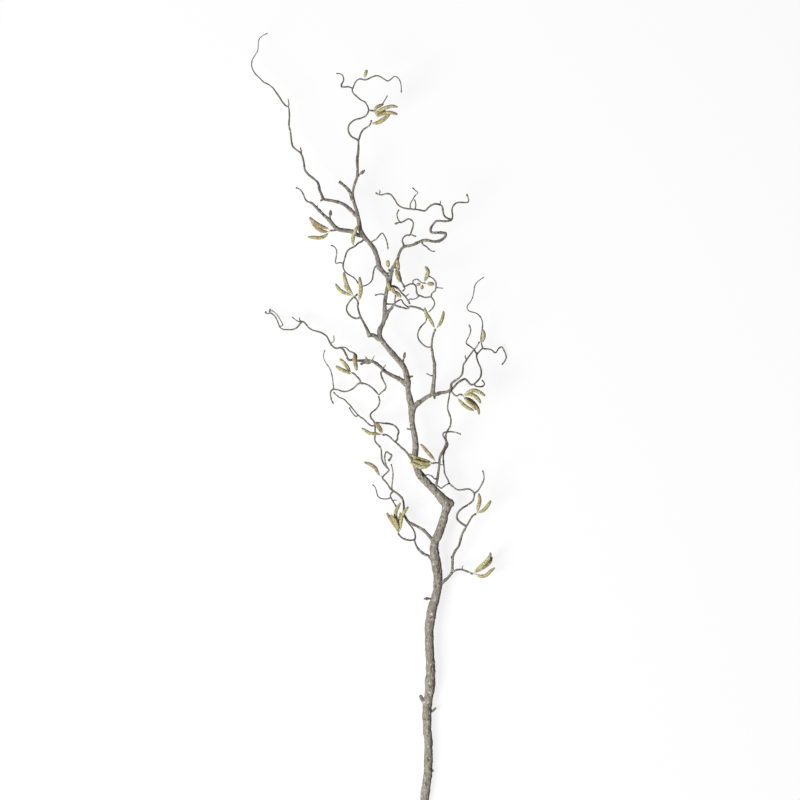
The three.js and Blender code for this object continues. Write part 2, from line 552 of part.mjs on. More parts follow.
// Catkins by cluster: the twig they hang from, and for each one its radius, its heights above that twig
// from stalk to tip, its colour and its route.
const CATKINS = {
  low_right: [
    "low_right_spur",
    [3, [2, 5, 6], CATKIN_GREEN, "75,357 82,363 91,371 97.5,380 98.5,386"],
    [2.8, [-1, -3, -5], CATKIN_GREEN, "77,356 84,361 92,366 98,372 101,379"],
    [2.7, [0, 1, 4], CATKIN_GREEN, "76,353 84,350 91.5,351.5 99,358 105,363"],
  ],
  right_fork: [
    "low_right_rise",
    [2.8, [2, 5, 6], CATKIN_GREEN, "78,447 80,455 82,464 80.5,475"],
    [2.7, [0, -1, 0], CATKIN_GREEN, "80,446 87,449 93,455 99,464"],
  ],
  low_left: [
    "low_left",
    [2.7, [0, 1, 2], CATKIN_TAN, "-44,422 -47,429 -53,438 -57.5,445.5"],
    [2.9, [5, 8, 9], CATKIN_GREEN, "-40.5,416.5 -41.3,423.5 -43.5,431.5 -47.5,437.5 -51.5,442.5"],
    [2.8, [0, 2, 6], CATKIN_GREEN, "-40,423 -43,434 -44,446 -37,460.5"],
    [2.7, [4, 9, 12], CATKIN_GREEN, "-37,420.5 -36,433 -33.5,443 -25,455"],
    [1.9, [-3, 0, 3], CATKIN_TAN, "-38.5,424 -38.4,435 -37,446"],
  ],
  left_climber: [
    "left_climber",
    [2.7, [3, 5, 6], CATKIN_TAN, "-68.3,501.5 -71.5,507 -75.5,513.5 -83,518.5 -91.5,521.3"],
  ],
  knee: [
    "knee_stalk",
    [2.6, [4, 5, 5], CATKIN_TAN, "14.5,524.5 9,531 2,539 -3,545 -7,549"],
    [2.6, [2, 2, 3], CATKIN_GREEN, "8,522.5 0,524.5 -9,527 -17,531 -24,534"],
    [3.1, [0, -1, 0], CATKIN_GREEN, "8,518.2 1,515.3 -6,514.8 -14,518 -22,522"],
    [2.5, [5, 7, 8], CATKIN_GREEN, "7,520.5 -1,520.3 -10,522.3 -17,525.3"],
  ],
  mid_left: [
    "mid_left_spur",
    [2.5, [0, 2, 3], CATKIN_GREEN, "-66.5,563.2 -73.5,564.5 -82,565 -89,569 -95,573"],
    [3.3, [3, 8, 10], CATKIN_TAN, "-64.7,566.3 -67.5,571.5 -71.5,577.5 -75,580.5"],
  ],
  right_branch: [
    "right_stalk",
    [2.9, [5, 7, 7], CATKIN_GREEN, "60,624 68,628.3 75,629.2 82,626.2 90,621.2"],
    [3, [1, 2, 2], CATKIN_GREEN, "59,622.5 66,623.8 74,621 80,615.5 83,610"],
    [2.7, [-1, -3, -4], CATKIN_TAN, "59,619 67,615.5 74,609.5 79,602 81,593"],
    [2.6, [-3, -4, -5], CATKIN_GREEN, "50,616.5 56,609.5 64,603.5 73,599"],
    [2.4, [5, 6, 8], CATKIN_GREEN, "58.5,617.5 65,612 72,605.5 76,600"],
  ],
  hanging: [
    "hanging_stalk",
    [2.9, [0, -1, -2], CATKIN_GREEN, "-112.3,657.7 -117,665 -123,672 -128,677"],
    [2.8, [3, 3, 3], CATKIN_GREEN, "-112.3,654.2 -119,658 -126,661 -134,666"],
  ],
  left_branch: [
    "left_over",
    [3.1, [4.5, 5, 5], CATKIN_TAN, "-106,683.5 -105.5,677 -104,668 -102.5,659"],
  ],
  riser: [
    "riser",
    [2.6, [2, 4, 6], CATKIN_GREEN, "13.5,724 11,729 7,736 2,744 -1,753"],
    [2.5, [1, 3, 3], CATKIN_GREEN, "18,723.5 22,728.5 25,735 27,742 27.5,748"],
  ],
  right_high: [
    "right_high",
    [2.7, [3, 5, 5], CATKIN_GREEN, "84.8,701 86.6,706 87.6,712 86,720"],
  ],
  upper_left: [
    "upper_left_stalk",
    [2.9, [1, 3, 4], CATKIN_GREEN, "-99,764.5 -97,772 -96,782 -97,791 -98,799"],
    [2.9, [4, 5, 4], CATKIN_GREEN, "-108.5,773 -113,779 -117,787 -120,797 -121.5,806"],
    [2.6, [1, 0, -1], CATKIN_GREEN, "-110.5,771.5 -119,774.5 -127,779 -131,784 -134,789"],
    [2.3, [-2, -4, -5], CATKIN_TAN, "-109,774 -115,780 -121,786.5"],
  ],
  inner: [
    "inner_stalk",
    [2.7, [2, 6], CATKIN_TAN, "-45,774.5 -50,784"],
    [2.8, [0, 5], CATKIN_GREEN, "-52,778 -56.5,792"],
    [2.7, [-1, -2], CATKIN_TAN, "-36,768.5 -44.5,778"],
  ],
  inner_bow: [
    "inner_bow",
    [2.9, [4, 10], CATKIN_GREEN, "-39.5,808.5 -42,826"],
    [2.9, [6, 10], CATKIN_GREEN, "-38,791 -44,809"],
  ],
  upper_right: [
    "upper_right_stalk",
    [2.8, [1, 3], CATKIN_GREEN, "-55,813.5 -56,824"],
  ],
  arch: [
    "inner_arch",
    [3, [2, 4, 5], CATKIN_GREEN, "-1,792.5 2.6,800 4,807.5 0,814"],
    [2.4, [-3, -4], CATKIN_TAN, "-7,788.5 -13,786.5"],
    [2.4, [-3, -4], CATKIN_TAN, "-4,786.5 -5,780"],
    [3, [0, 1], CATKIN_GREEN, "3.2,788.7 13.5,787.5"],
  ],
  top_cross: [
    "top_cross",
    [2.9, [4, 5, 6], CATKIN_GREEN, "-107.5,847 -108,853 -106.5,862 -101,875"],
  ],
  top_left: [
    "top_left_stalk",
    [3, [3, 4, 4], CATKIN_TAN, "-145,871 -153,873.5 -160,877 -167,882 -173,888"],
    [3, [-1, -2, -2], CATKIN_TAN, "-145.7,866.9 -152,867 -160,871.3 -165.5,876.5 -170,882"],
    [2.8, [-4, -5, -4], CATKIN_GREEN, "-145.5,864 -151,859.5 -158,857.5 -166,858 -175,859"],
  ],
  top: [
    "top_stalk",
    [2.7, [4, 6, 6], CATKIN_GREEN, "-74.5,1042.7 -67.5,1047 -58.5,1051 -49,1053.2 -41,1052"],
    [2.4, [3, 3, 1], CATKIN_TAN, "-76.5,1044.5 -72,1052 -62,1056.5"],
    [2.3, [-2, -3, -4], CATKIN_GREEN, "-73,1040.5 -66,1043.5 -59,1048"],
    [2.7, [4, 5, 5], CATKIN_TAN, "-71.5,1038 -64,1041.5 -57,1043.8 -49,1043.3 -41,1041"],
  ],
  top_right: [
    "top_right",
    [3.2, [2, 5, 6], CATKIN_GREEN, "-78.5,1028 -70,1030 -63,1034 -56,1040 -52,1044.5"],
  ],
  crown: [
    "top_leader_right",
    [2.4, [3, 6], CATKIN_GREEN, "-90.5,1096.5 -87,1108"],
  ],
};

// Fat buds: parent, radius, rise, route.
const BUDS = [
  ["stem", 2.4, [3, 4], "-97.4,952.6 -94,955 -90,959"],
  ["stem", 2, [3, 5], "-31.7,676.5 -30,687"],
  ["top_left_low", 2.4, [2, 4], "-141.8,889.5 -141,899"],
  ["side_curl", 1.7, [0, 0], "-39.5,879.4 -46,877.6"],
  ["right_low_left", 1.3, [0, 0], "68.3,722.5 65.5,728.5"],
  ["hanging_foot", 1.4, [0, 0], "-140.6,614.5 -137.5,609"],
  ["top_arch", 1.2, [0, 0], "-55.9,845.8 -55.4,840"],
];

// The value at a share of the way along a list of evenly spaced ones.
function along(values, share) {
  const place = share * (values.length - 1);
  const before = Math.min(Math.floor(place), values.length - 2);
  return THREE.MathUtils.lerp(values[before], values[before + 1], place - before);
}

function readRoute(text) {
  return text
    .trim()
    .split(/\s+/)
    .map((pair) => new THREE.Vector2(...pair.split(",").map(Number)));
}

// Gives the points of a flat route their heights, with the weave of a contorted twig.
function raise(flat, heights, weave, phase) {
  const lengths = [0];
  flat.slice(1).forEach((point, i) => lengths.push(lengths[i] + point.distanceTo(flat[i])));
  const total = lengths.at(-1);
  return flat.map((point, i) => {
    const turn = (2 * Math.PI * lengths[i]) / WEAVE_LENGTH + phase;
    const swing = weave * Math.sin(turn) * Math.min(1, lengths[i] / WEAVE_START);
    return new THREE.Vector3(point.x, point.y, along(heights, lengths[i] / total) + swing);
  });
}

function sidesFor(radius) {
  if (radius > 4.5) return 10;
  return radius > 2.3 ? 7 : 5;
}

// A closed tube along a curve: a cylinder bent onto it, with the radius given along the way.
function bentTube(curve, sides, steps, radiusAt) {
  const geometry = new THREE.CylinderGeometry(1, 1, 1, sides, steps);
  const frames = curve.computeFrenetFrames(steps, false);
  const position = geometry.attributes.position;
  for (let i = 0; i < position.count; i++) {
    const share = position.getY(i) + 0.5;
    const ring = Math.round(share * steps);
    const radius = radiusAt(share);
    const point = curve
      .getPointAt(share)
      .addScaledVector(frames.normals[ring], radius * position.getX(i))
      .addScaledVector(frames.binormals[ring], -radius * position.getZ(i));
    position.setXYZ(i, point.x, point.y, point.z);
  }
  geometry.deleteAttribute("normal");
  geometry.deleteAttribute("uv");
  return mergeVertices(geometry, 1e-4);
}

function solidOf(geometry) {
  const mesh = new wasm.Mesh({
    numProp: 3,
    vertProperties: geometry.attributes.position.array,
    triVerts: new Uint32Array(geometry.index.array),
  });
  return new wasm.Manifold(mesh);
}

function geometryOf(solid) {
  const mesh = solid.getMesh();
  const geometry = new THREE.BufferGeometry();
  geometry.setAttribute("position", new THREE.BufferAttribute(mesh.vertProperties, 3));
  geometry.setIndex(new THREE.BufferAttribute(mesh.triVerts, 1));
  return geometry;
}

// The point on a limb's spine that is nearest to a place seen from above.
function rootOn(limb, place) {
  let best = { gap: Infinity };
  for (let i = 0; i < limb.steps; i++) {
    const [start, end] = [limb.spine[i], limb.spine[i + 1]];
    const run = new THREE.Vector2(end.x - start.x, end.y - start.y);
    const reach = new THREE.Vector2(place.x - start.x, place.y - start.y);
    const part = THREE.MathUtils.clamp(run.dot(reach) / run.lengthSq(), 0, 1);
    const point = start.clone().lerp(end, part);
    const gap = Math.hypot(point.x - place.x, point.y - place.y);
    if (gap < best.gap) best = { gap, point, radius: limb.radiusAt((i + part) / limb.steps) };
  }
  return best;
}

// A limb is a curve, a radius along it, and a spine of points where its tube has rings.
function limbOn(curve, radiusAt) {
  const length = curve.getLength();
  const thickest = radiusAt(0.25);
  const steps = Math.max(2, Math.round(length / Math.max(WOOD_STEP, STEP_PER_RADIUS * thickest)));
  return { curve, radiusAt, steps, sides: sidesFor(thickest), spine: curve.getSpacedPoints(steps) };
}

function makeStem() {
  const curve = new THREE.CatmullRomCurve3(STEM.map(([x, y, z]) => new THREE.Vector3(x, y, z)));
  const radii = STEM.map((row) => row[3]);
  // The curve's own parameter is even over the rows of the table, where its length isn't.
  return limbOn(curve, (share) => along(radii, curve.getUtoTmapping(share)));
}

function makeLimb(parent, radii, heights, text, weave, phase) {
  const flat = readRoute(text);
  const root = rootOn(parent, flat[0]);
  flat.unshift(new THREE.Vector2(root.point.x, root.point.y));
  const curve = new THREE.CatmullRomCurve3(raise(flat, [root.point.z, ...heights], weave, phase));
  const length = curve.getLength();
  return limbOn(curve, (share) => {
    const radius = along(radii, share);
    const swell = COLLAR_SWELL * Math.exp((-share * length) / (COLLAR_REACH * radius));
    if (share === 0) return Math.min(radius * (1 + swell), root.radius * 0.9);
    return share === 1 ? radius * TIP_SHARE : radius * (1 + swell);
  });
}

function limbSolid(limb) {
  return solidOf(bentTube(limb.curve, limb.sides, limb.steps, limb.radiusAt));
}

function makeWood() {
  const limbs = { stem: makeStem() };
  TWIGS.forEach(([name, parent, radii, heights, text], index) => {
    limbs[name] = makeLimb(limbs[parent], radii, heights, text, WEAVE_DEPTH, index);
  });
  const stubs = STUBS.map(([parent, radii, rise, text]) => {
    const root = rootOn(limbs[parent], readRoute(text)[0]);
    return makeLimb(limbs[parent], radii, [root.point.z + rise], text, 0, 0);
  });
  const wood = [...Object.values(limbs), ...stubs]
    .map(limbSolid)
    .reduce((whole, piece) => whole.add(piece));
  return { limbs, wood };
}

// A catkin or bud: a spindle on its own route, at heights measured from the twig it grows on.
function spindle(parent, radius, rises, text, profile, sides, steps) {
  const flat = readRoute(text);
  const ground = rootOn(parent, flat[0]).point.z;
  const points = raise(flat, rises.map((rise) => ground + rise), 0, 0);
  const curve = new THREE.CatmullRomCurve3(points);
  return bentTube(curve, sides, steps, (share) => radius * along(profile, share));
}

function namedMesh(name, geometry, finish) {
  const mesh = new THREE.Mesh(geometry, new THREE.MeshStandardMaterial(finish));
  mesh.name = name;
  return mesh;
}

const twig = new THREE.Group();
const { limbs, wood } = makeWood();
twig.add(namedMesh("wood", geometryOf(wood), BARK));

Object.entries(CATKINS).forEach(([cluster, [parent, ...members]]) => {
  members.forEach(([radius, rises, finish, text], index) => {
    const shape = spindle(
      limbs[parent], radius, rises, text, CATKIN_PROFILE, CATKIN_SIDES, CATKIN_STEPS,
    );
    twig.add(namedMesh(`catkin_${cluster}_${index + 1}`, shape, finish));
  });
});

BUDS.forEach(([parent, radius, rises, text], index) => {
  const shape = spindle(limbs[parent], radius, rises, text, BUD_PROFILE, CATKIN_SIDES, BUD_STEPS);
  twig.add(namedMesh(`bud_${index + 1}`, shape, BUD_BROWN));
});

// The part's origin is the middle of the bottom of its box.
const box = new THREE.Box3().setFromObject(twig);
const middle = box.getCenter(new THREE.Vector3());
twig.position.set(-middle.x, -middle.y, -box.min.z);

const part = new THREE.Group();
part.add(twig);
export default part;
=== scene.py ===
"""A cut, contorted twig with catkins, lying on a flat surface: its fine meshes and its finishes.

Routes and sizes in the tables are in millimetres, from the foot of the stem. ROUTE_ORIGIN is where that foot
lies in the frame. All else is in metres.
"""

import math

import bpy
import numpy as np
from mathutils.kdtree import KDTree
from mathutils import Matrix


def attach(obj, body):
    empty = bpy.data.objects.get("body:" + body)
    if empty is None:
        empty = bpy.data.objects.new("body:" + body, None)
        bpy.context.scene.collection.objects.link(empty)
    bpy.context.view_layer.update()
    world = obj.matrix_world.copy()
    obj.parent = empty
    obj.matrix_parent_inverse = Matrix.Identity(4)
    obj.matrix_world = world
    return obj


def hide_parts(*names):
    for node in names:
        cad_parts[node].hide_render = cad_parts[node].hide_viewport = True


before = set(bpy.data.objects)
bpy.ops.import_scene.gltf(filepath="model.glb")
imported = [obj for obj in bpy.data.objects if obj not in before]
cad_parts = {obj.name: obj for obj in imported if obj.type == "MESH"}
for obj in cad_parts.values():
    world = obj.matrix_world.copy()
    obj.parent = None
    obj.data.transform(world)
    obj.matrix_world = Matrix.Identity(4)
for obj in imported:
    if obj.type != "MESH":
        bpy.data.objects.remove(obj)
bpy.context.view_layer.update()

MM = 0.001
ROUTE_ORIGIN = np.array((69.21, -582.47, -0.09))

# How the wood grows
WEAVE_DEPTH = 2.2  # how far a side twig weaves up and down
WEAVE_LENGTH = 38
WEAVE_START = 20  # length over which the weave grows from nothing
COLLAR_SWELL = 0.45  # extra share of radius where a twig leaves its parent
COLLAR_REACH = 2.2  # how far the collar fades out, in radii
COLLAR_LIMIT = 0.9  # greatest radius of a twig's foot, as a share of its parent's
BUD_GAP = (14, 27)  # least and greatest length between the nodes of a side twig
BARE_END = 4  # length at the end of a side twig that has no node
NODE_SWELL = 0.28  # extra share of radius at such a node
NODE_REACH = 1.3
TIP_SWELL = 0.4  # extra share of radius of the small bud that ends each side twig
TIP_LENGTH = 3.2
STEM_STEP = 1.3  # length of one ring of faces on the stem, and on twigs
TWIG_STEP = 1.5
FINE_STEPS = 12  # points worked out between two points of a route
SIDES = ((4.5, 28), (2.1, 14), (0, 10))  # a limb's radius, and how many faces go round one that is thicker

# How catkins and buds grow
CATKIN_PROFILE = (0.4, 0.82, 1, 1, 0.98, 0.86, 0.42)  # share of full radius, stalk end to tip
BUD_PROFILE = (0.55, 0.95, 1, 0.8, 0.3)
CATKIN_PITCH = 1.25  # length between two rings of scales
CATKIN_AROUND = 7  # scales in one ring
CATKIN_SCALE = (1.45, 0.5, 0.16)  # half length in mm, then half width and half thickness in radii
BUD_PITCH = 1.5
BUD_AROUND = 4
BUD_SCALE = (2.1, 0.85, 0.16)
CATKIN_STALK = 0.42  # radius of the stalk
BUD_STALK = 0.9
CORE_SHARE = 0.82  # radius of the core under the scales
SPINDLE_STEP = 1  # length between two points of a catkin's or bud's line, and of its stalk's
STALK_STEP = 0.7

# The colours of their scales: pale, deep, dull and the edges, on a screen
GREEN_SCALES = ((240, 233, 190), (208, 203, 134), (158, 147, 102), (168, 152, 104))
TAN_SCALES = ((232, 215, 178), (206, 184, 136), (156, 138, 106), (146, 116, 82))
BUD_SCALES = ((166, 156, 146), (142, 132, 120), (116, 106, 96), (84, 72, 62))
PALE_STALK = (214, 208, 184)
DARK_STALK = (116, 110, 100)

# The surface of the wood
THICKEST = 7  # radius at which the bark is roughest
BARK_LUMPS = ((0.013, 0.0026), (0.0035, 0.0015))  # size and depth, in metres
FORK_REACH = 2.5  # how far a fork is smoothed, in radii of the side twig
WEIGHT_LEVELS = 40
NEAR_RINGS = 24  # rings of the limbs that are tried for each point of the wood
CUT_DEPTH = 0.0012  # depth of the stepped end, and width of one growth ring, in metres
RING_WIDTH = 0.0011
CUT_STEPS = (  # width and depth of each step of the cut end, from the rim to the pith, in metres
    (0.0008, 0), (0.0002, -0.0003), (0.0014, 0), (0.0014, 0), (0.0014, 0), (0.0003, -0.0005),
)
# Single marks of the bark: place and radius. The scars are pale. Of the dark spots, the first two are knots
# and the last two are painted shade on the shaded edge of the stem.
SCARS = (((10, 293, 27), 1.6), ((7, 175, 21), 1.3), ((-2, 160, 18), 1.7))
KNOTS_AND_SHADE_SPOTS = (((-3, 502.8, 46.3), 2.5), ((-62, 660.3, 55), 2.4), ((9.5, 490, 44.6), 1.8), ((17, 484, 42.4), 1.6))

# The studio
LENS = 250
VIEW_CENTRE = (0.0317, 0.0325)
CAMERA_HEIGHT = 8.378
KEY_PLACE = (-2, -1.3, 3.1)
KEY_SIZE = (1.3, 2.2)
KEY_POWER = 182
FILL = 0.105
FLOOR_SHADE = 0.16
FLOOR_GLOW = 0.84  # light of its own, so that the floor stays white where it is in shade
FLOOR_DROP = 0.0004  # keeps the floor just clear of the bark that rests on it

# The main stem: x, y, height of its centre, radius.
STEM = (
    (-1, 0, 6.7, 6.6), (-0.5, 16, 7.2, 6.5), (3, 40, 8, 6.5), (5.4, 70, 9.5, 6.5),
    (5.2, 100, 10.5, 6.3), (3.2, 130, 11, 6.6), (4, 158, 12.5, 7), (6, 170, 13.5, 6.6),
    (7.5, 181, 14.5, 7.4), (8.2, 195, 16, 8), (8.5, 206, 17, 7), (8.4, 222, 18, 6.9),
    (7, 245, 19.5, 6.5), (7.2, 275, 20, 6.8), (11, 300, 20, 7.5), (16.5, 320, 20, 6.6),
    (19.8, 345, 21, 6.7), (16.5, 370, 24, 7.4), (14, 390, 27, 6.8), (15, 402, 29, 6.3),
    (20, 413, 30, 6.5), (26.5, 430, 30, 6), (31, 448, 30.5, 6.2), (33.5, 458, 32, 7.8),
    (25, 468, 35, 6.8), (14, 480, 38, 6), (3, 491, 40, 6), (-6, 501, 41, 6), (-11.5, 511, 41, 5.5),
    (-15, 530, 39.5, 5), (-14, 545, 38.5, 4.8), (-15.5, 560, 39, 4.3), (-19.6, 582, 42, 4.2),
    (-20.2, 600, 45, 4.7), (-22, 613, 47, 4.9), (-25.2, 628, 48, 3.9), (-26.5, 645, 48, 4.8),
    (-29.5, 660, 48.5, 4.1), (-36, 670, 50, 4.3), (-44.5, 680, 52, 4.3), (-53.3, 690, 54, 3.9),
    (-61.5, 700, 55, 3.7), (-67.5, 709, 55, 3.9), (-67.8, 720, 54, 3.7), (-62.8, 730, 53, 3.1),
    (-60.5, 742, 54, 3.3), (-60.3, 758, 57, 2.8), (-58, 775, 60, 2.9), (-55, 790, 61, 3.1),
    (-56, 799, 61, 3.4), (-62, 806, 60, 3.6), (-68.5, 814, 59, 4), (-70, 822, 59, 3.8),
    (-72, 830, 60, 3.4), (-77, 842, 63, 3.5), (-84, 851, 65, 3.2), (-92, 860, 66, 3.6),
    (-97, 870, 65, 3.7), (-98.5, 880, 64, 3.2), (-100.4, 890, 65, 2.9), (-103, 900, 67, 2.6),
    (-106.8, 913, 68, 2.3), (-108.2, 925, 67, 1.9), (-106, 936, 67, 1.8), (-102, 948, 69, 2),
    (-101, 962, 71, 1.9), (-101.5, 975, 71, 2.3), (-100, 985, 70, 2.1), (-99.5, 1003, 71, 1.4),
)

